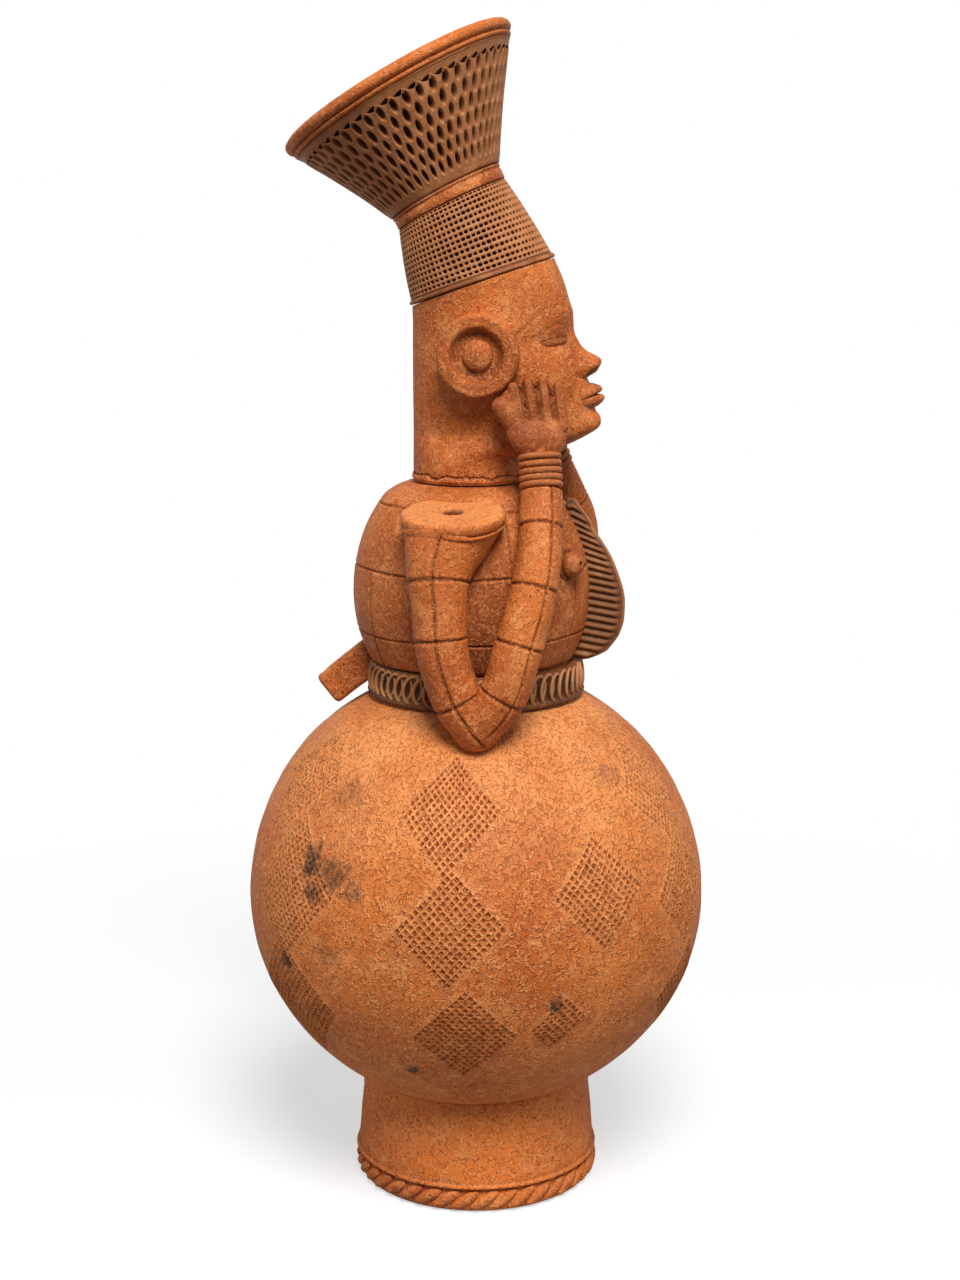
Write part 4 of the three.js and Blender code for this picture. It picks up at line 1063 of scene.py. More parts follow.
def aimedPiece(name, outline, columns, place, axis, side, rough, hollowAt, looped=True):
    # turned outline of (radius, along) points about an axis through a place
    axis = Vector(axis).normalized()
    across = axis.orthogonal().normalized()
    along = axis.cross(across)
    rings = []
    for radius, out in outline:
        ring = []
        for angle in wholeTurn(columns):
            base = Vector(place) + axis * out
            rim = across * cos(angle) + along * sin(angle)
            reach = radius - rough * max(0, 0.5 + unevenness(base + rim * radius, 6, 2.7))
            point = base + rim * max(reach, 0)
            ring.append(mirrored(point, side, hollowAt(radius, out)))
        rings.append(ring if radius > 0 else [ring[0]])
    return skinPiece(name, rings, looped)


def makeNipples():
    skin = arcRadius(torso, nipple["above"])
    angle = radians(nipple["angle"])
    axis = Vector((sin(angle), -cos(angle), 0.12))
    start = Vector(around(skin, angle, torso["centre"] + nipple["above"], torso["forward"]))
    top = nipple["reach"]
    outline = [(0, -2.2), (4.6, -2.2), (5.7, -0.9), (5.6, 0.2), (4.9, 0.55), (4.1, 0.3), (4.25, 1.0),
               (4.5, 2.0), (4.3, 3.2), (3.7, 4.4), (2.7, top - 0.8), (1.7, top - 0.25), (1.05, top - 0.2),
               (nipple["hole"] - 0.1, top - 0.9), (nipple["hole"] - 0.2, top - 2.6), (0, top - 2.8)]

    def dark(radius, out):
        # painted shade in the fold round the knob and in its hole
        return 0.8 * bell(out - 0.35, 0.35) * (radius > 3.5) + 0.95 * (radius < 1.0) * (out > 0)
    dense = [outline[0]] + softOutline(outline[1:-1], 0.35, looped=False) + [outline[-1]]
    for name, side in sides:
        knob = aimedPiece("nipple_knob_" + name, dense, 40, start, axis, side, 0.12, dark, looped=False)
        dress(knob, smoothClay, "terracotta", "nipple_" + name)


slab = {"length": 30.0, "height": 12.5, "width": 19.0, "reach": 15.0, "drop": 13.2, "droop": 39.0,
        "corner": 2.0}


def makeSlab():
    droop = radians(slab["droop"])
    outward = Vector((0, cos(droop), -sin(droop)))
    upward = Vector((0, sin(droop), cos(droop)))
    sideward = Vector((1, 0, 0))
    end = Vector((0, -(torso["forward"] - torso["footRadius"] - slab["reach"]), torso["base"] - slab["drop"]))
    start = end - outward * (slab["length"] - 2)

    def section(along, shrink):
        ring = []
        half, tall, corner = slab["width"] / 2 - shrink, slab["height"] / 2 - shrink, slab["corner"]
        quarters = [along + sideward * (half - corner) * aside + upward * (tall - corner) * above
                    for aside, above in ((1, 1), (-1, 1), (-1, -1), (1, -1))]
        for index, centre in enumerate(quarters):
            for step in range(6):
                angle = pi / 2 * (index + step / 5)
                bend = (sideward * cos(angle) + upward * sin(angle)) * corner
                ring.append(centre + bend)
            goal = quarters[(index + 1) % 4] + bend
            ring += [ring[-1].lerp(goal, share / 8) for share in range(1, 8)]
        return ring
    rings = [[tuple(start)]]
    length = (end - start).length
    for along, shrink in [(length * step / 18, 0.0) for step in range(18)] + [
            (length - 1.3, 0.05), (length - 0.6, 0.3), (length - 0.2, 0.75), (length, 1.4)]:
        ring = []
        for point in section(start + outward * along, shrink):
            wear = 0.35 * unevenness(point, 11, 5.5) + 0.15 * unevenness(point, 4, 1.2)
            ring.append(tuple(point - (point - start - outward * along).normalized() * (0.3 + wear)))
        rings.append(ring)
    for shrink in (3.0, 4.6):
        rings.append([tuple(point) for point in section(end + outward * 0.05, shrink)])
    rings.append([tuple(end + outward * 0.05)])
    block = skinPiece("slab_block", rings)
    dress(block, torsoClay, "terracotta", "back_slab")


makeCrest()
makeNipples()
makeSlab()
print("crest, nipples and slab made")


# head: rings from the neck's foot to the hairline

head = {
    "neckForward": -2.3, "neckRadius": 19.4, "neckWall": 5.0, "napeHeight": 58.8, "hairDepth": 51.0,
    "hairWidth": 44.4, "hairTilt": 18.7, "faceHeight": 61.0, "faceLean": 14.5,
    "browDown": 1 / 3, "eyesDown": 0.42, "noseDown": 2 / 3, "mouthDown": 0.78,
    "noseReach": 6.4, "mouthWidth": 14.6, "lipHeight": 3.9, "lipReach": 3.2,
    "eyeWidth": 9.8, "lidHeight": 6.4, "columns": 216, "ringsBetween": 11,
    # share of the way from hairline to chin, relief, share of the hairline's width, narrowing of the front
    "faceRings": ((1.02, -13, 0.88, 0.1), (0.99, -3.6, 0.88, 0.22), (0.95, 0.4, 0.88, 0.3),
                  (0.86, 0.6, 0.9, 0.26), (0.77, 1.0, 0.94, 0.2), (0.67, 0.6, 0.98, 0.14),
                  (0.52, 0.5, 1.0, 0.12), (0.42, 0.2, 1.0, 0.1), (0.33, 1.3, 1.0, 0.06),
                  (0.16, 1.5, 1.0, 0.03)),
}
head["seat"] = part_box("head")[0][2] / mm
head["nape"] = head["neckForward"] - head["neckRadius"]
hairTilt, faceLean = radians(head["hairTilt"]), radians(head["faceLean"])
ringParts = ("forward", "up", "depth", "width", "tilt", "narrowing")


def ovalRing(forward, up, depth, width, tilt, narrowing=0.0):
    return dict(zip(ringParts, (forward, up, depth, width, tilt, narrowing)))


def ringPoint(ring, angle):
    # angle 0 is the front, a quarter turn is the figure's left
    reach = ring["depth"] * cos(angle)
    side = ring["width"] * sin(angle) * (1 - ring["narrowing"] * (1 + cos(angle)) / 2)
    forward = ring["forward"] + reach * cos(ring["tilt"])
    return Vector((side, -forward, ring["up"] + reach * sin(ring["tilt"])))


def raised(ring, distance, lean=None):
    lean = ring["tilt"] if lean is None else lean
    forward, up = ring["forward"] - distance * sin(lean), ring["up"] + distance * cos(lean)
    return {**ring, "forward": forward, "up": up}


def rounded(ring, radius, tilt):
    return {**ring, "depth": radius, "width": radius, "tilt": tilt}


def grown(ring, distance):
    return {**ring, "depth": ring["depth"] + distance, "width": ring["width"] + distance}


def ringBetween(rings, position):
    # a smooth ring at a place along a row of rings, counted from 0
    index = min(int(position), len(rings) - 2)
    share = position - index
    before, start = rings[max(index - 1, 0)], rings[index]
    end, after = rings[index + 1], rings[min(index + 2, len(rings) - 1)]
    ring = {}
    for part in ringParts:
        a, b, c, d = before[part], start[part], end[part], after[part]
        slopeIn, slopeOut = (c - a) / 2, (d - b) / 2
        if (c - b) * slopeIn < 0:
            slopeIn = 0
        if (c - b) * slopeOut < 0:
            slopeOut = 0
        square, cube = share * share, share ** 3
        ring[part] = ((2 * cube - 3 * square + 1) * b + (cube - 2 * square + share) * slopeIn
                      + (3 * square - 2 * cube) * c + (cube - square) * slopeOut)
    return ring


hairline = ovalRing(head["nape"] + head["hairDepth"] / 2 * cos(hairTilt),
                    head["seat"] + head["napeHeight"] + head["hairDepth"] / 2 * sin(hairTilt),
                    head["hairDepth"] / 2, head["hairWidth"] / 2, hairTilt)
hairFront = (head["nape"] + head["hairDepth"] * cos(hairTilt),
             head["seat"] + head["napeHeight"] + head["hairDepth"] * sin(hairTilt))


def facePlace(down, out, side=0.0):
    forward = hairFront[0] + down * sin(faceLean) + out * cos(faceLean)
    return Vector((side, -forward, hairFront[1] - down * cos(faceLean) + out * sin(faceLean)))


def faceCoords(point):
    forward, up = -point[1] - hairFront[0], point[2] - hairFront[1]
    return forward * sin(faceLean) - up * cos(faceLean), point[0]


def faceRing(share, relief, width, narrowing):
    front = facePlace(share * head["faceHeight"], relief)
    backUp = head["seat"] + head["napeHeight"] * (1 - share * 0.75)
    rise, run = front.z - backUp, -front.y - head["nape"]
    return ovalRing(head["nape"] + run / 2, backUp + rise / 2, hypot(rise, run) / 2,
                    head["hairWidth"] * width / 2, atan2(rise, run), narrowing)


neckFoot = ovalRing(head["neckForward"], head["seat"], head["neckRadius"], head["neckRadius"], 0.0)
throat = raised(neckFoot, head["napeHeight"] * 0.14)
headRings = [neckFoot, throat] + [faceRing(*values) for values in head["faceRings"]] + [hairline]
faceOut = Vector((0, -cos(faceLean), sin(faceLean)))
tall = head["faceHeight"]


def noseRelief(down, side):
    tip, base = tall * head["noseDown"] - 4.0, tall * head["noseDown"]
    start = tall * (head["browDown"] + 0.03)
    along = clamp((down - start) / (tip - start))
    ridge = mix(0.9, head["noseReach"] * 0.62, along ** 1.2) * eased((down - start + 5) / 6)
    relief = ridge * bell(side, mix(2.3, 3.0, along))
    ball = head["noseReach"] * 0.62 * bell(hypot(down - tip, side * 0.95), 3.5)
    wings = sum(bell(hypot(down - base + 2.5, side - wing), 2.1) for wing in (-3.7, 3.7))
    wings *= head["noseReach"] * 0.5
    return (max(relief, 0) * 0.75 + ball + wings) * (1 - eased((down - base + 0.6) / 1.9))


def cheekRelief(down, side):
    sockets = -1.5 * sum(bell(hypot((down - tall * 0.43) * 1.1, side - eye), 5.2) for eye in (-9.8, 9.8))
    brows = 0.9 * bell(down - tall * 0.31, 3.2) * bell(abs(side) - 9, 9)
    cheeks = 1.1 * sum(bell(hypot(down - tall * 0.6, (side - cheek) * 0.9), 6.5) for cheek in (-13, 13))
    folds = -0.7 * (bell(abs(side) - mix(5.6, 9.4, clamp((down - tall * 0.64) / 9)), 1.3)
                       * eased((down - tall * 0.62) / 2) * (1 - eased((down - tall * 0.79) / 3)))
    muzzle = 1.5 * bell(hypot((down - tall * 0.79) * 0.9, side * 0.62), 6.5)
    philtrum = -0.5 * bell(side, 1.0) * bell(down - tall * 0.715, 1.7)
    chin = 1.5 * bell(hypot(down - tall * 0.925, side * 0.8), 4.4)
    hollow = -0.9 * bell(down - tall * 0.862, 1.7) * bell(side, 7)
    return sockets + brows + cheeks + folds + muzzle + philtrum + chin + hollow


def headPoint(position, angle):
    ring = ringBetween(headRings, position)
    point = ringPoint(ring, angle)
    facing = clamp(cos(angle) * 1.6)
    if position > 1.5 and facing > 0:
        down, side = faceCoords(point)
        strength = eased(facing) * (1 - eased((down / tall - 0.97) / 0.05))
        point = point + faceOut * cheekRelief(down, side) * strength
    return point


def browArc(down, side):
    # distance from the scored arc over each eye
    if down > tall * head["eyesDown"] - 1.5:
        return 9.0
    return abs(hypot(down - tall * head["eyesDown"] + 1.5, abs(side) - 10.2) - 9.2)


def frontDense(count):
    return [angle - 0.42 * sin(angle) for angle in wholeTurn(count)]


def makeHead():
    angles = frontDense(head["columns"])
    rings = []
    steps = [index / 50 for index in range(32)]
    between = head["ringsBetween"]
    steps += [index / between for index in range(7, (len(headRings) - 1) * between + 1)]
    for position in steps:
        ring = []
        for angle in angles:
            point = headPoint(position, angle)
            down, side = faceCoords(point)
            away = (point - Vector((0, point.y * 0.3, point.z))).normalized()
            rough = 0.12 + 0.16 * unevenness(point, 16, 3.5) + 0.07 * unevenness(point, 5, 6.1)
            dark = 0.0
            if cos(angle) > -0.1 and position > 3:
                gap = browArc(down, side)
                rough -= cut(gap, 0.42, 0.4, 0.08)
                # painted shade along the scored arcs
                dark = 0.6 * bell(gap, 0.4)
            lift = point.z - head["seat"]
            seamHeight = 2.2 + 1.5 * unevenness(point, 5.2, 9.9) + 0.8 * unevenness(point, 1.7, 2.9)
            seam = bell(lift - seamHeight, 0.38)
            rough += 0.9 * seam - 0.55 * (1 - eased((lift - seamHeight + 0.3) / 0.6)) * eased(lift / 1.2)
            ring.append((*(point - away * rough), max(dark, 0.8 * seam)))
        rings.append(ring)
    wall = head["neckWall"]
    inner = [grown(hairline, -wall), grown(faceRing(0.42, -3, 1.0, 0.0), -wall - 1),
             grown(raised(throat, head["napeHeight"] * 0.3), -wall), grown(throat, -wall),
             grown(neckFoot, -wall)]
    for position in [index / 5 for index in range((len(inner) - 1) * 5 + 1)]:
        rings.append([tuple(ringPoint(ringBetween(inner, position), angle)) for angle in angles])
    skull = skinPiece("head_shell", rings, looped=True)
    dress(skull, orangeClay, "terracotta", "head")
    return BVHTree.FromPolygons([vertex.co / mm for vertex in skull.data.vertices],
                                [list(face.vertices) for face in skull.data.polygons])


def facePatch(name, relief, downRange, sideRange, steps, node, material):
    # a smooth swelling laid on the face; it sinks into the face round its edge
    downLow, downHigh = downRange
    sideLow, sideHigh = sideRange
    front, back = [], []
    for step in range(steps[0] + 1):
        down = mix(downLow, downHigh, step / steps[0])
        for turn in range(steps[1] + 1):
            side = mix(sideLow, sideHigh, turn / steps[1])
            height, dark = relief(down, side)
            skin = faceSkin(down, side)
            front.append((*(skin + faceOut * height), dark))
            back.append((*(skin - faceOut * 1.6), 0.0))
    columns, count = steps[1] + 1, len(front)
    faces = []
    for row in range(steps[0]):
        for column in range(steps[1]):
            a = row * columns + column
            faces.append([a, a + 1, a + columns + 1, a + columns])
            faces.append([count + a, count + a + columns, count + a + columns + 1, count + a + 1])
    for row in range(steps[0]):
        for column in (0, steps[1]):
            a = row * columns + column
            faces.append([a, a + columns, count + a + columns, count + a])
    for column in range(steps[1]):
        for row in (0, steps[0]):
            a = row * columns + column
            faces.append([a, a + 1, count + a + 1, count + a])
    points = front + back
    patch = pieceFrom(name, points, faces, [point[3] for point in points])
    dress(patch, material, "terracotta", node)


def faceSkin(down, side):
    # point of the bare face at a height down from the hairline and a distance aside
    hit = skullTree.ray_cast(facePlace(down, 30, side), -faceOut)[0]
    return hit if hit else facePlace(down, -4, side)


def makeFace():
    sunk = 0.25

    def nose(down, side):
        relief = noseRelief(down, side)
        base = tall * head["noseDown"]
        nostril = sum(bell(hypot(down - base + 0.9, side - hole), 1.05) for hole in (-2.6, 2.6))
        # painted shade in the nostrils
        return relief - sunk - 0.9 * nostril * (relief > 0.8), 0.85 * clamp(nostril * 1.3)
    facePatch("nose_form", nose, (tall * 0.3, tall * 0.7), (-8.2, 8.2), (64, 50), "nose", orangeClay)

    mouth, half = tall * head["mouthDown"], head["mouthWidth"] / 2

    def lip(down, side, upper):
        share = clamp(abs(side) / half, 0, 1)
        bow = (0.55 * bell(side, 1.6) - 0.35 * bell(abs(side) - 2.6, 1.6)) if upper else 0.0
        thick = head["lipHeight"] * (1.0 if upper else 1.08) * sqrt(max(0, 1 - share ** 2.2)) - bow
        seam = mouth + 0.5 * share ** 2
        distance = (seam - down) if upper else (down - seam)
        # painted shade along the mouth's seam, on the lips and just off them
        if thick <= 0.3 or distance < -0.02 or distance > thick:
            return -0.6, 0.4 * (abs(distance) < 0.4)
        swell = sin(pi * clamp(distance / thick) ** 0.75) ** 0.6
        return head["lipReach"] * (1 - share ** 2.6) * swell - 0.05, 0.7 * bell(distance, 0.35)
    for name, upper in (("upper", True), ("lower", False)):
        reach = head["lipHeight"] * 1.25
        downRange = (mouth - reach, mouth + 0.8) if upper else (mouth - 0.3, mouth + reach)
        facePatch(name + "_lip_form", lambda down, side, upper=upper: lip(down, side, upper), downRange,
                  (-half - 0.8, half + 0.8), (40, 64), name + "_lip", smoothClay)

    eyeDown, eyeHalf = tall * head["eyesDown"], head["eyeWidth"] / 2

    def lid(down, side, centre, upper):
        across = (side - centre) / eyeHalf
        slit = eyeDown + 0.35 * across * (1 if centre < 0 else -1) + 0.5 * across ** 2
        tallness = head["lidHeight"] * (0.62 if upper else 0.42) * sqrt(max(0, 1 - abs(across) ** 2.4))
        distance = (slit - down) if upper else (down - slit)
        if tallness <= 0.2 or distance < -0.02 or distance > tallness:
            return -0.8, 0.0
        swell = sqrt(max(0, 1 - (distance / tallness) ** 2.0))
        # painted shade along the eye's slit
        return 2.0 * swell * (1 - abs(across) ** 3) - 0.1, 0.8 * bell(distance, 0.3)
    for side, centre in (("left", 9.8), ("right", -9.8)):
        for name, upper in (("upper", True), ("lower", False)):
            downRange = (eyeDown - 4.6, eyeDown + 0.7) if upper else (eyeDown - 0.25, eyeDown + 3.6)
            facePatch(name + "_lid_" + side,
                      lambda down, across, centre=centre, upper=upper: lid(down, across, centre, upper),
                      downRange, (centre - eyeHalf - 0.6, centre + eyeHalf + 0.6), (34, 46),
                      name + "_eyelid_" + side, smoothClay)


ear = {"radius": 14.0, "thickness": 7.6, "dishRadius": 9.0, "dishDepth": 3.4, "bossRadius": 5.3,
       "bossHeight": 2.9, "forward": 4.9, "drop": 14.8, "side": 19.6}


def makeEars():
    place = Vector((ear["side"], -ear["forward"], head["seat"] + head["napeHeight"] - ear["drop"]))
    radius, thick, dish = ear["radius"], ear["thickness"], ear["dishRadius"]
    floor = thick - ear["dishDepth"]
    outline = [(radius - 2.6, 0.0), (radius - 0.5, 1.0), (radius, 2.8), (radius, 5.6),
               (radius - 0.3, thick - 0.7), (radius - 1.0, thick - 0.1), (radius - 2.4, thick - 0.2),
               (dish + 1.0, thick - 0.3), (dish + 0.3, thick - 0.8), (dish - 0.4, floor + 0.9),
               (dish - 1.6, floor + 0.1), (2.0, floor)]
    dense = [(0, 0.0)] + softOutline(outline, 0.45, looped=False) + [(0, floor)]

    def dark(reach, out):
        # painted shade in the dish next to its wall
        return 0.65 * bell(reach - dish + 1.6, 1.7) * (out > 2)
    boss = [(0, floor - 1.0), (ear["bossRadius"] - 0.4, floor - 1.0)]
    boss += [(ear["bossRadius"] * cos(angle), floor + 0.1 + ear["bossHeight"] * sin(angle))
             for angle in (pi / 2 * index / 12 for index in range(12))]
    boss.append((0, floor + 0.1 + ear["bossHeight"]))
    for name, side in sides:
        disc = aimedPiece("ear_dish_" + name, dense, 112, place, (1, 0, 0), side, 0.22, dark, looped=False)
        dress(disc, torsoClay, "terracotta", "ear_disc_" + name)
        knob = aimedPiece("ear_dome_" + name, boss, 56, place, (1, 0, 0), side, 0.15, bright, looped=False)
        dress(knob, torsoClay, "terracotta", "ear_boss_" + name)


skullTree = makeHead()
makeFace()
makeEars()
print("head, face and ears made")


# coiffure: band of pits, collar, pitted funnel and rim

coiffure = {
    "bandLength": 27.3, "bandLean": 22.5, "overhang": 0.7, "bandTopRadius": 20.2, "bandTopTilt": 26.0,
    "lip": 2.6, "swell": 0.5, "dotRows": 14, "dotsRound": 76, "dotMouth": 0.88, "dotBottom": 0.86,
    "dotDepth": 2.2, "collarLength": 4.6, "collarRadius": 20.7, "wall": 4.6, "funnelLength": 33.6,
    "funnelLean": 25.0, "footRadius": 20.8, "mouthRadius": 41.0, "funnelTilt": 30.0, "flare": 1.12,
    "pitRows": 7, "pitsRound": 48, "pitMouth": 0.75, "pitBottom": 0.62, "pitDepth": 3.4, "rimHeight": 5.6,
    "rimRadius": 43.1,
}
bandLean, bandTopTilt = radians(coiffure["bandLean"]), radians(coiffure["bandTopTilt"])
funnelLean, funnelTilt = radians(coiffure["funnelLean"]), radians(coiffure["funnelTilt"])
bandBottom = raised(grown(hairline, coiffure["overhang"]), 0.3)
bandTop = raised(bandBottom, coiffure["bandLength"], bandLean)
bandTop = rounded(bandTop, coiffure["bandTopRadius"], bandTopTilt)
collarBottom = rounded(raised(bandTop, 0.3), coiffure["collarRadius"] - 0.5, bandTopTilt)
collarTop = {**raised(collarBottom, coiffure["collarLength"]), "tilt": (bandTopTilt + funnelTilt) / 2}
funnelBottom = rounded(raised(collarTop, 0.3), coiffure["footRadius"], collarTop["tilt"])


def funnelRing(share):
    radius = mix(coiffure["footRadius"], coiffure["mouthRadius"], max(share, 0) ** coiffure["flare"])
    tilt = mix(funnelBottom["tilt"], funnelTilt, share)
    return rounded(raised(funnelBottom, coiffure["funnelLength"] * share, funnelLean), radius, tilt)


def ringOf(ring, angles, shrink=0.0, dark=0.0, rough=0.0, pale=0.0):
    points = []
    for angle in angles:
        point = ringPoint(ring, angle)
        dent = shrink + rough * max(0, 0.5 + unevenness(point, 8, 4.4) + 0.5 * unevenness(point, 3, 1.4))
        points.append((*ringPoint(grown(ring, -dent), angle), dark, pale))
    return points


def makeBand():
    middle = raised(bandBottom, coiffure["bandLength"] / 2, bandLean)
    for part in ("depth", "width"):
        middle[part] = (bandBottom[part] + bandTop[part]) / 2 + coiffure["swell"] - 0.4
    middle["tilt"] = (bandBottom["tilt"] + bandTop["tilt"]) / 2
    course = [grown(bandBottom, -0.5), middle, grown(bandTop, -0.1)]
    angles = wholeTurn(coiffure["dotsRound"])
    lipShare = coiffure["lip"] / coiffure["bandLength"] * 2
    rings = [ringOf(ringBetween(course, 0), angles, 0.3)]
    # painted shade in the step above the lip
    for share, shrink, dark in ((0.12, -0.3, 0), (0.45, -0.5, 0), (0.75, -0.35, 0), (0.95, 0.2, 0.7),
                                (1.12, 0.5, 0.8)):
        rings.append(ringOf(ringBetween(course, lipShare * share), angles, shrink, dark))
    flags = [False] * (len(rings) - 1)
    rowHeight = (2 - lipShare * 1.25) / coiffure["dotRows"]
    for row in range(coiffure["dotRows"]):
        low = lipShare * 1.25 + rowHeight * row
        # painted highlight on the ridge at the foot of each row of dots
        for share, shrink in ((0.0, 0.1), (0.12, 0.25), (0.88, 0.25)):
            rings.append(ringOf(ringBetween(course, low + rowHeight * share), angles, shrink, 0.0, 0.1,
                                0.6 if share == 0 else 0.0))
            flags.append(share == 0.88)
    rings.append(ringOf(ringBetween(course, 2.0), angles, 0.05))
    rings += [ringOf(grown(ring, -coiffure["wall"]), angles) for ring in (bandTop, middle, bandBottom)]
    flags += [False] * (len(rings) - len(flags))
    band = skinPiece("coiffure_band_wall", rings, looped=True)
    markFaces(band, [flag for flag in flags for _ in angles])
    # the dots' floors get painted shade and the ridges round them painted highlight
    applyTree(band, punchedCells, {
        "Mouth": coiffure["dotMouth"], "Bottom": coiffure["dotBottom"], "Depth": coiffure["dotDepth"] * mm,
        "Burr": 0.08 * mm, "Unevenness": 0.18, "Pale Edge": 0.6, "Smoothing": 1, "Seed": 9,
        "Material": brownClay})
    dress(band, brownClay, "brown_clay", "coiffure_band")


def makeCollar():
    angles = wholeTurn(144)
    course = [collarBottom, collarTop]
    rings = []
    for share, growth in ((0.0, -1.2), (0.05, -0.5), (0.16, -0.2), (0.4, -0.25), (0.62, -0.1), (0.7, -0.4),
                          (0.76, -0.4), (0.82, 0.1), (0.92, 0.15), (0.98, -0.3), (1.0, -1.2)):
        # painted shade in the groove round the collar
        rings.append(ringOf(ringBetween(course, share), angles, -growth, 0.9 * bell(share - 0.73, 0.04), 0.2))
    for share in (1.0, 0.5, 0.0):
        rings.append(ringOf(grown(ringBetween(course, share), -coiffure["wall"] + 0.3), angles))
    collar = skinPiece("coiffure_collar_wall", rings, looped=True)
    dress(collar, torsoClay, "terracotta", "coiffure_collar")


def makeFunnel():
    count, rowCount = coiffure["pitsRound"], coiffure["pitRows"]
    angles = wholeTurn(count)
    half = [angle + pi / count for angle in angles]
    rows = []
    for row in range(rowCount + 1):
        share = mix(0.02, 0.972, row / rowCount)
        rows.append(ringOf(funnelRing(share), half if row % 2 else angles, 0.0, 0.0, 0.25))
    last = half if rowCount % 2 else angles
    wall = coiffure["wall"]
    lining = [(0.985, 0.0), (1.0, 0.35), (1.0, 1.2), (1.0, wall - 1.2)]
    lining += [(share, wall) for share in (0.97, 0.8, 0.6, 0.4, 0.2, 0.04, 0)] + [(0, 1.2), (0, 0.2)]
    after = [ringOf(funnelRing(share), last, shrink) for share, shrink in lining]
    funnel = latticePiece("coiffure_funnel_wall", rows, lambda column, row: True, [], after)
    # the holes' floors get painted shade and the walls between them painted highlight
    applyTree(funnel, punchedCells, {
        "Mouth": coiffure["pitMouth"], "Bottom": coiffure["pitBottom"], "Depth": coiffure["pitDepth"] * mm,
        "Burr": 0.4 * mm, "Unevenness": 0.12, "Pale Edge": 0.42, "Smoothing": 2, "Seed": 12,
        "Material": brownClay})
    dress(funnel, brownClay, "brown_clay", "coiffure_funnel")


def makeRim():
    angles = wholeTurn(200)
    seat = raised(funnelRing(1), 0.3)
    full = coiffure["rimRadius"] - coiffure["mouthRadius"]
    outline = [(-0.6, 0.0), (0.3, 0.15), (0.75, 0.5), (0.65, 0.95), (0.1, 1.25), (0.5, 1.6),
               (full - 0.5, 2.1), (full - 0.05, 2.9), (full - 0.02, 3.9), (full - 0.4, 4.7),
               (full - 1.3, 5.3), (-0.2, 5.58), (-1.9, 5.5), (-3.2, 5.1), (-4.2, 4.4), (-4.7, 3.2),
               (-4.7, 1.5), (-4.6, 0.0)]
    dense = softOutline(outline, 0.35)
    rings = []
    for growth, height in dense:
        # painted shade in the groove low on the rim
        dark = 0.85 * bell(height - 1.3, 0.35) * (growth > -0.5)
        lift = clamp(height, 0, coiffure["rimHeight"]) - 0.27 * bell(height, 0.3)
        rings.append(ringOf(raised(seat, lift), angles, -growth, dark, 0.22))
    rim = skinPiece("coiffure_lip", rings, looped=True)
    dress(rim, orangeClay, "terracotta", "coiffure_rim")


makeBand()
makeCollar()
makeFunnel()
makeRim()
print("coiffure made")


# arms, with scored lines, shoulder caps, wrist rings and hands

arm = {
    "capForward": -1.0, "capSide": 38.0, "capBelow": 5.5, "capRadius": 17.5, "capThickness": 4.4,
    "capTilt": 9.0, "vent": 3.4, "elbowForward": 8.6, "elbowSide": 48.5, "elbowPress": 1.4,
    "elbowRadius": 8.4, "radius": 9.9, "flareShare": 0.45, "cavity": 4.6, "cavityDepth": 26.0,
    "foreRadius": 8.2, "wristRadius": 7.1, "wristForward": 25.6, "wristSide": 24.5, "wristAbove": 12.6,
    "leftBow": 3.2, "leftBack": 6.3, "rings": 5, "ringWire": 2.05, "ringSeat": 5.0, "gap": 0.3,
    # places along each course: forward, outside the torso's widest radius, share of the height to the cap
    "upperCourse": ((-3.2, 1.6, 0.88), (-4.2, 5, 0.76), (-3.6, 7, 0.62), (-2.6, 8.4, 0.42), (-0.2, 8.6, 0.26),
                    (3.4, 8, 0.12)),
    "foreCourse": ((17.7, 7.6, 0.17), (22.3, 5.6, 0.4), (26.5, 0.6, 0.675), (27.7, -4.9, 0.87),
                   (27.6, -9.4, 1.0), (26.9, -14.4, 1.16)),
    # heights of the scored rings, and degrees of the lengthwise line from straight out toward the front
    "upperLines": (223.9, 205.4, 184.8), "foreLines": (240.5, 221.6, 203.8, 186.8), "upperSeam": 0.0,
    "foreSeam": 40.0, "lineWidth": 0.68, "lineDepth": 0.85,
}
capTilt = radians(arm["capTilt"])
capNormal = Vector((sin(capTilt), 0, cos(capTilt)))
capTop = Vector((arm["capSide"], -arm["capForward"], torso["top"] - arm["capBelow"]))
armTop = capTop - capNormal * (arm["capThickness"] + arm["gap"])
elbowSeat = belly["centre"] + arcHeight(belly, "rise", hypot(arm["elbowForward"], arm["elbowSide"]))
elbow = Vector((arm["elbowSide"], -arm["elbowForward"], elbowSeat + arm["elbowRadius"] - arm["elbowPress"]))


def armPoint(forward, outside, share):
    return Vector((torso["radius"] + outside, -forward, mix(elbow.z, armTop.z, share)))


def torsoReach(up):
    if up > torso["shoulder"]:
        return mix(torso["shoulderRadius"], torso["topRadius"], (up - torso["shoulder"]) / torso["topRise"])
    return arcRadius(torso, up - torso["centre"], 0.1)


def outOfTorso(point):
    # what lies inside the torso's wall stays in its outer half
    if not torso["base"] < point.z < torso["top"] - 0.6:
        return point
    aside, forward = point.x, -point.y - torso["forward"]
    reach, need = hypot(aside, forward), torsoReach(point.z) - 2.4
    if reach >= need:
        return point
    return Vector((aside * need / reach, -torso["forward"] - forward * need / reach, point.z))


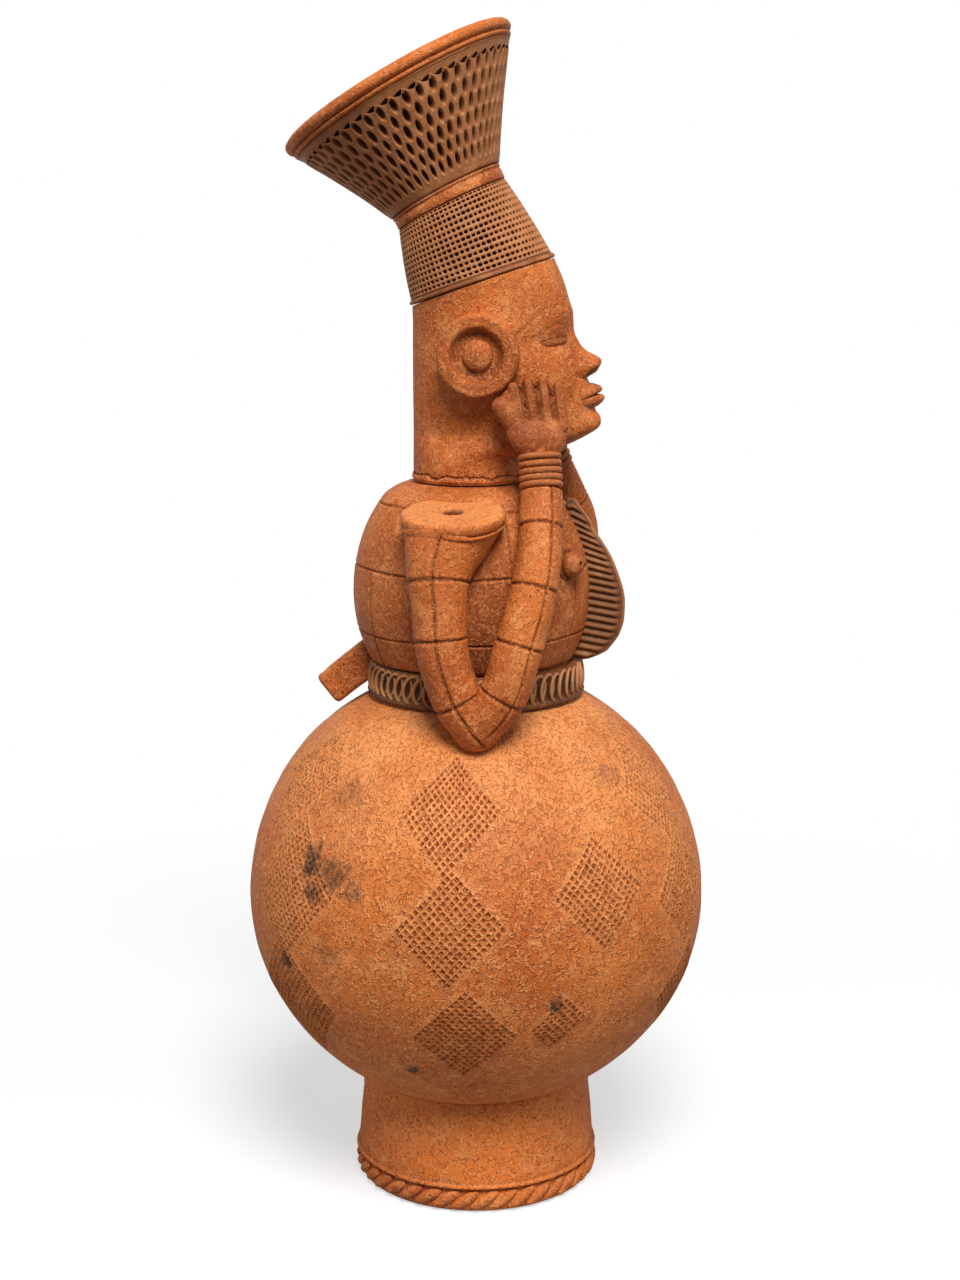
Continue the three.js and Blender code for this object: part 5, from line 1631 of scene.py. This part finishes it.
def limbPiece(name, at, length, radiusAt, start, lines, seam, side, cavity=0.0):
    # a limb along a path, scored round at some heights and once lengthwise
    def pathAt(along):
        return at(along / length)

    def along(height):
        steps = [length * index / 600 for index in range(601)]
        return min(steps, key=lambda step: abs(pathAt(step).z - height) + (0 if step > length * 0.04 else 50))
    marks = [along(height) for height in lines]
    width = arm["lineWidth"]
    turns = stations(0, 2 * pi, radians(6), [seam % (2 * pi)], width / 8)[:-1]
    rings = []
    for place in stations(0, length, 1.3, marks, width):
        centre = pathAt(place)
        tangent = (pathAt(min(place + 0.4, length)) - pathAt(max(place - 0.4, 0))).normalized()
        if start is not None:
            tangent = start.lerp(tangent, eased(place / length / 0.14)).normalized()
        outward = (Vector((1, 0, 0)) - tangent * tangent.x).normalized()
        forward = outward.cross(tangent)
        if forward.y > 0:
            forward.negate()
        radius = radiusAt(place / length)
        ring = []
        for turn in turns:
            direction = outward * cos(turn) + forward * sin(turn)
            point = centre + direction * radius
            wander = 0.35 * unevenness(point, 14, 8.8)
            gap = min([abs(place + wander - mark) for mark in marks] + [9])
            seamGap = angleBetween(turn + wander / radius, seam) * radius
            groove = cut(gap, width, arm["lineDepth"], 0.1) + cut(seamGap, width, arm["lineDepth"] * 0.9, 0.1)
            dent = 0.18 + 0.25 * unevenness(point, 11, 3.7) + 0.08 * unevenness(point, 4, 6.4)
            point = centre + direction * (radius - max(0, dent) + groove)
            point = outOfTorso(point)
            # painted shade along the scored lines
            dark = max(bell(gap, width * 0.75), bell(seamGap, width * 0.75))
            ring.append(mirrored(point, side, dark))
        rings.append(ring)
    last = pathAt(length)
    endAxis = (last - pathAt(length - 0.5)).normalized()
    rings += roundEnd(rings[-1], Vector(mirrored(last, side)), Vector(mirrored(endAxis, side)), radiusAt(1.0))
    if cavity:
        # painted shade inside the socket
        inner = []
        for depth in (0.0, 0.6, 4.0, 12.0, arm["cavityDepth"]):
            centre = pathAt(depth)
            radius = cavity * (1.35 if depth < 1 else 1.1 if depth < 5 else 1)
            spots = [centre + Vector((radius * cos(turn), -radius * sin(turn), 0)) for turn in turns]
            inner.insert(0, [mirrored(spot, side, 0.9) for spot in spots])
        deep = pathAt(arm["cavityDepth"])
        rings = [[mirrored(deep - Vector((0, 0, 0.5)), side, 1.0)]] + inner + rings
    else:
        rings = [[mirrored(pathAt(0), side)]] + rings
    return skinPiece(name, rings)


def roundEnd(ring, centre, axis, radius):
    # closes a tube with half a ball
    rings = []
    for step in range(1, 9):
        turn = pi / 2 * step / 9
        middle = centre + axis * radius * sin(turn)
        rings.append([(*(middle + (Vector(point[:3]) - centre) * cos(turn)), point[3]) for point in ring])
    tip = centre + axis * radius
    return rings + [[tuple(tip)]]


def makeUpperArms():
    at, length = smoothPath([armTop] + [armPoint(*spot) for spot in arm["upperCourse"]] + [elbow])

    def radiusAt(share):
        flare = max(0, 1 - share / arm["flareShare"]) ** 2
        return mix(mix(arm["radius"], arm["elbowRadius"], share), arm["capRadius"], flare) - 0.1
    tall, wide, vent = arm["capThickness"], arm["capRadius"], arm["vent"]
    outline = [(vent + 0.6, -tall), (wide - 4, -tall), (wide - 1.0, -tall + 0.1), (wide - 0.3, -tall + 0.9),
               (wide - 0.05, -tall / 2), (wide - 0.2, -1.2), (wide - 0.8, -0.4), (wide - 2.2, -0.05),
               (vent + 1.6, -0.15), (vent + 0.3, -0.6), (vent - 0.1, -1.6), (vent, -tall + 0.8)]
    dense = softOutline(outline, 0.5)

    def dark(radius, out):
        # painted shade inside the vent and along the cap's underside
        return 0.85 * clamp(vent + 1.0 - radius) * (out < -0.3) + 0.6 * bell(out + tall, 0.5)
    for name, side in sides:
        limb = limbPiece("upper_limb_" + name, at, length, radiusAt, -capNormal, arm["upperLines"],
                         radians(arm["upperSeam"]), side, arm["cavity"])
        dress(limb, orangeClay, "terracotta", "upper_arm_" + name)
        cap = aimedPiece("shoulder_lid_" + name, dense, 96, capTop, capNormal, side, 0.3, dark)
        for vertex in cap.data.vertices:
            vertex.co = outOfTorso(vertex.co / mm) * mm
        highlightTop(cap, capTop.z - 1.5)
        dress(cap, orangeClay, "terracotta", "shoulder_cap_" + name)


def highlightTop(piece, height):
    # painted highlight: the upper faces near the top are made pale, as if lit from above
    layer = piece.data.attributes["paleHighlight"].data
    for index, vertex in enumerate(piece.data.vertices):
        layer[index].value = max(layer[index].value, 0.75 * clamp((vertex.co.z / mm - height + 3) / 3)
                                 * clamp(vertex.normal.z))


def forePath(bow, back):
    spots = [elbow]
    for index, (forward, outside, share) in enumerate(arm["foreCourse"]):
        way = (index + 1) / (len(arm["foreCourse"]) + 1)
        swing = bow * sin(way * pi) - back * max(0, 2 * way - 1)
        spots.append(armPoint(forward + swing, outside, share))
    spots.append(Vector((arm["wristSide"], -(arm["wristForward"] - back), torso["top"] + arm["wristAbove"])))
    return smoothPath(spots)


def makeWristRings():
    tree, given, result = geometryTree("wristRings", {"Radius": 0.0063, "Wire": 0.001, "Unevenness": 0.02})
    ring = coil(tree, circle(tree, 44, given["Radius"]), 12, given["Wire"])
    ahead = put(tree, "GeometryNodeInputNamedAttribute", [("Name", "direction")], data_type="FLOAT_VECTOR")
    ahead = ahead.outputs["Attribute"]
    facing = put(tree, "FunctionNodeAlignRotationToVector", [("Vector", ahead)], axis="Z")
    copies = copyTo(tree, given["Geometry"], ring, facing, randomSize(tree, given))
    # painted highlight: the rings are stored a little pale
    return finishTree(tree, given, result, storeValue(tree, copies, "paleHighlight", 0.25))


hand = {
    "fingerPitch": 5.0, "fingerTips": (23.6, 25.0, 25.1, 23.4), "fingerFoot": 8.5, "fingerRadius": 2.28,
    "fingerLean": 0.13, "lean": 9.0, "yaw": 20.0, "voxel": 0.42, "pricks": 9,
    # forward, outward and up of each end, and the radii there
    "thumbs": ((-4.5, 0, 4.6, -12.4, -0.4, 15.6, 3.7, 3.1), (-3.5, 0, 6.4, -9.4, -0.2, 18.4, 3.6, 2.7)),
    # a palm section's height, half width, half thickness and forward shift
    "palm": ((-1.2, 5.8, 4.1, 0.2), (0.0, 7.4, 4.5, 0.1), (2.0, 8.9, 4.9, -0.2), (4.6, 10.0, 5.1, -0.5),
             (7.0, 10.3, 4.7, -0.6), (9.0, 10.0, 3.6, -0.6), (10.4, 9.0, 1.8, -0.6)),
}


def handPlace(seat, spot, side):
    # the hand's own frame is forward, outward and up
    lean, yaw = radians(hand["lean"]), radians(hand["yaw"])
    outward = spot.y * cos(lean) - spot.z * sin(lean)
    up = spot.y * sin(lean) + spot.z * cos(lean)
    forward = spot.x * cos(yaw) + outward * sin(yaw)
    outward = outward * cos(yaw) - spot.x * sin(yaw)
    return (side * (seat.x + outward), seat.y - forward, seat.z + up)


def handLocal(seat, point, side):
    lean, yaw = radians(hand["lean"]), radians(hand["yaw"])
    aside, ahead, up = side * point.x - seat.x, seat.y - point.y, point.z - seat.z
    outward = ahead * sin(yaw) + aside * cos(yaw)
    return ahead * cos(yaw) - aside * sin(yaw), up * cos(lean) - outward * sin(lean)


def fingerGap(forward, up):
    # one along the valleys between the fingers
    narrow = mix(0.92, 1.0, clamp((up - hand["fingerFoot"]) / 14))
    near = min(abs(forward - place * hand["fingerPitch"] * narrow + (up - 15) * hand["fingerLean"])
               for place in (-1, 0, 1))
    return bell(near, 0.85) * eased((up - 9) / 3)


def capsuleRings(start, end, radii):
    # a finger from start to end, in the hand's frame
    axis = (end - start).normalized()
    across = axis.cross(Vector((0, 1, 0))).normalized()
    thick = across.cross(axis)
    rings = [[tuple(start - axis * radii[0])]]
    levels = [(start - axis * radii[0] * cos(turn), radii[0] * sin(turn)) for turn in (0.5, 1.0, 1.4)]
    levels += [(start.lerp(end, share / 8), mix(radii[0], radii[1], share / 8)) for share in range(9)]
    levels += [(end + axis * radii[1] * sin(turn), radii[1] * cos(turn)) for turn in (0.35, 0.7, 1.05, 1.35)]
    for centre, radius in levels:
        rings.append([tuple(centre + (across * cos(turn) + thick * sin(turn)) * radius)
                      for turn in wholeTurn(16)])
    rings.append([tuple(end + axis * radii[1])])
    return rings


def makeHand(name, side, seat):
    parts, pricks = [], []
    for digit, tip in enumerate(hand["fingerTips"]):
        aside = (digit - 1.5) * hand["fingerPitch"]
        radius = hand["fingerRadius"]
        start, end = (Vector((aside * narrow - (up - 15) * hand["fingerLean"], 1.0, up))
                      for narrow, up in ((0.92, hand["fingerFoot"]), (1.0, tip - radius)))
        parts.append(capsuleRings(start, end, (radius * 1.04, radius * 0.94)))
        pricks += [start.lerp(end, step / hand["pricks"]) + Vector((0.2 * (step % 2), radius, 0))
                   for step in range(2, hand["pricks"] + 1)]
    for values in hand["thumbs"]:
        parts.append(capsuleRings(Vector(values[:3]), Vector(values[3:6]), values[6:]))
    sections = hand["palm"]
    palm = [[(sections[0][3], 0.0, sections[0][0] - 0.2)]]
    palm += [[(shift + half * cos(turn), thick * sin(turn), up) for turn in wholeTurn(28)]
             for up, half, thick, shift in sections]
    parts.append(palm + [[(sections[-1][3], 0.0, sections[-1][0] + 0.6)]])
    points, faces = [], []
    for rings in parts:
        start = len(points)
        points += [handPlace(seat, Vector(point), side) for point in flat(rings)]
        faces += [[start + corner for corner in face] for face in skinFaces(rings)]
    piece = pieceFrom("palm_fingers_" + name, points, faces)
    remesh = piece.modifiers.new("joined", "REMESH")
    remesh.mode = "VOXEL"
    remesh.voxel_size = hand["voxel"] * mm
    softener = piece.modifiers.new("softened", "SMOOTH")
    softener.factor, softener.iterations = 0.5, 3
    bakeModifiers(piece)
    piece.data.shade_smooth()
    piece.data.materials.clear()
    spots = KDTree(len(pricks))
    for index, prick in enumerate(pricks):
        spots.insert(handPlace(seat, prick, side), index)
    spots.balance()
    layer = piece.data.attributes.new("hollow", "FLOAT", "POINT")
    for index, vertex in enumerate(piece.data.vertices):
        near = bell(spots.find(vertex.co / mm)[2], 0.5)
        valley = fingerGap(*handLocal(seat, vertex.co / mm, side))
        # painted shade in the pricked dots and in the valleys between the fingers
        layer.data[index].value = max(0.75 * near, valley)
        vertex.co -= vertex.normal * (0.25 * near + 0.9 * valley) * mm
    return dress(piece, smoothClay, "terracotta", "hand_" + name)


def makeForearms():
    ringTree = makeWristRings()
    for name, side, bow, back in (("left", 1, arm["leftBow"], arm["leftBack"]), ("right", -1, 0.0, 0.0)):
        at, length = forePath(bow, back)
        pitch = arm["ringWire"] + arm["gap"]
        seatShare = 1 - (arm["rings"] * pitch + arm["gap"]) / length

        def radiusAt(share, seatShare=seatShare):
            thick = mix(arm["foreRadius"] + 0.1, arm["foreRadius"], clamp(share / 0.3))
            thick = mix(thick, arm["wristRadius"], clamp((share - 0.45) / (seatShare - 0.45)))
            return arm["ringSeat"] if share > seatShare else thick
        limb = limbPiece("forearm_limb_" + name, at, length, radiusAt, None, arm["foreLines"],
                         radians(arm["foreSeam"]), side)
        dress(limb, orangeClay, "terracotta", "forearm_" + name)
        centres, directions = [], []
        for ring in range(arm["rings"]):
            share = seatShare + (arm["gap"] + arm["ringWire"] / 2 + ring * pitch) / length
            centre, ahead = at(share), at(share + 0.002) - at(share - 0.002)
            centres.append(mirrored(centre, side))
            directions += mirrored(ahead, side)
        rings = pieceFrom("wrist_rings_" + name, centres, [])
        layer = rings.data.attributes.new("direction", "FLOAT_VECTOR", "POINT")
        layer.data.foreach_set("vector", directions)
        wire = arm["ringWire"] / 2
        applyTree(rings, ringTree, {
            "Radius": (arm["ringSeat"] + 0.25 + wire) * mm, "Wire": wire * 1.08 * mm, "Unevenness": 0.03,
            "Seed": 5, "Material": smoothClay})
        bracelets = ["bracelet_%d_%s" % (ring + 1, name) for ring in range(arm["rings"])]
        dress(rings, smoothClay, "terracotta", *bracelets)
        makeHand(name, side, at(1.0))


makeUpperArms()
makeForearms()
print("arms and hands made")
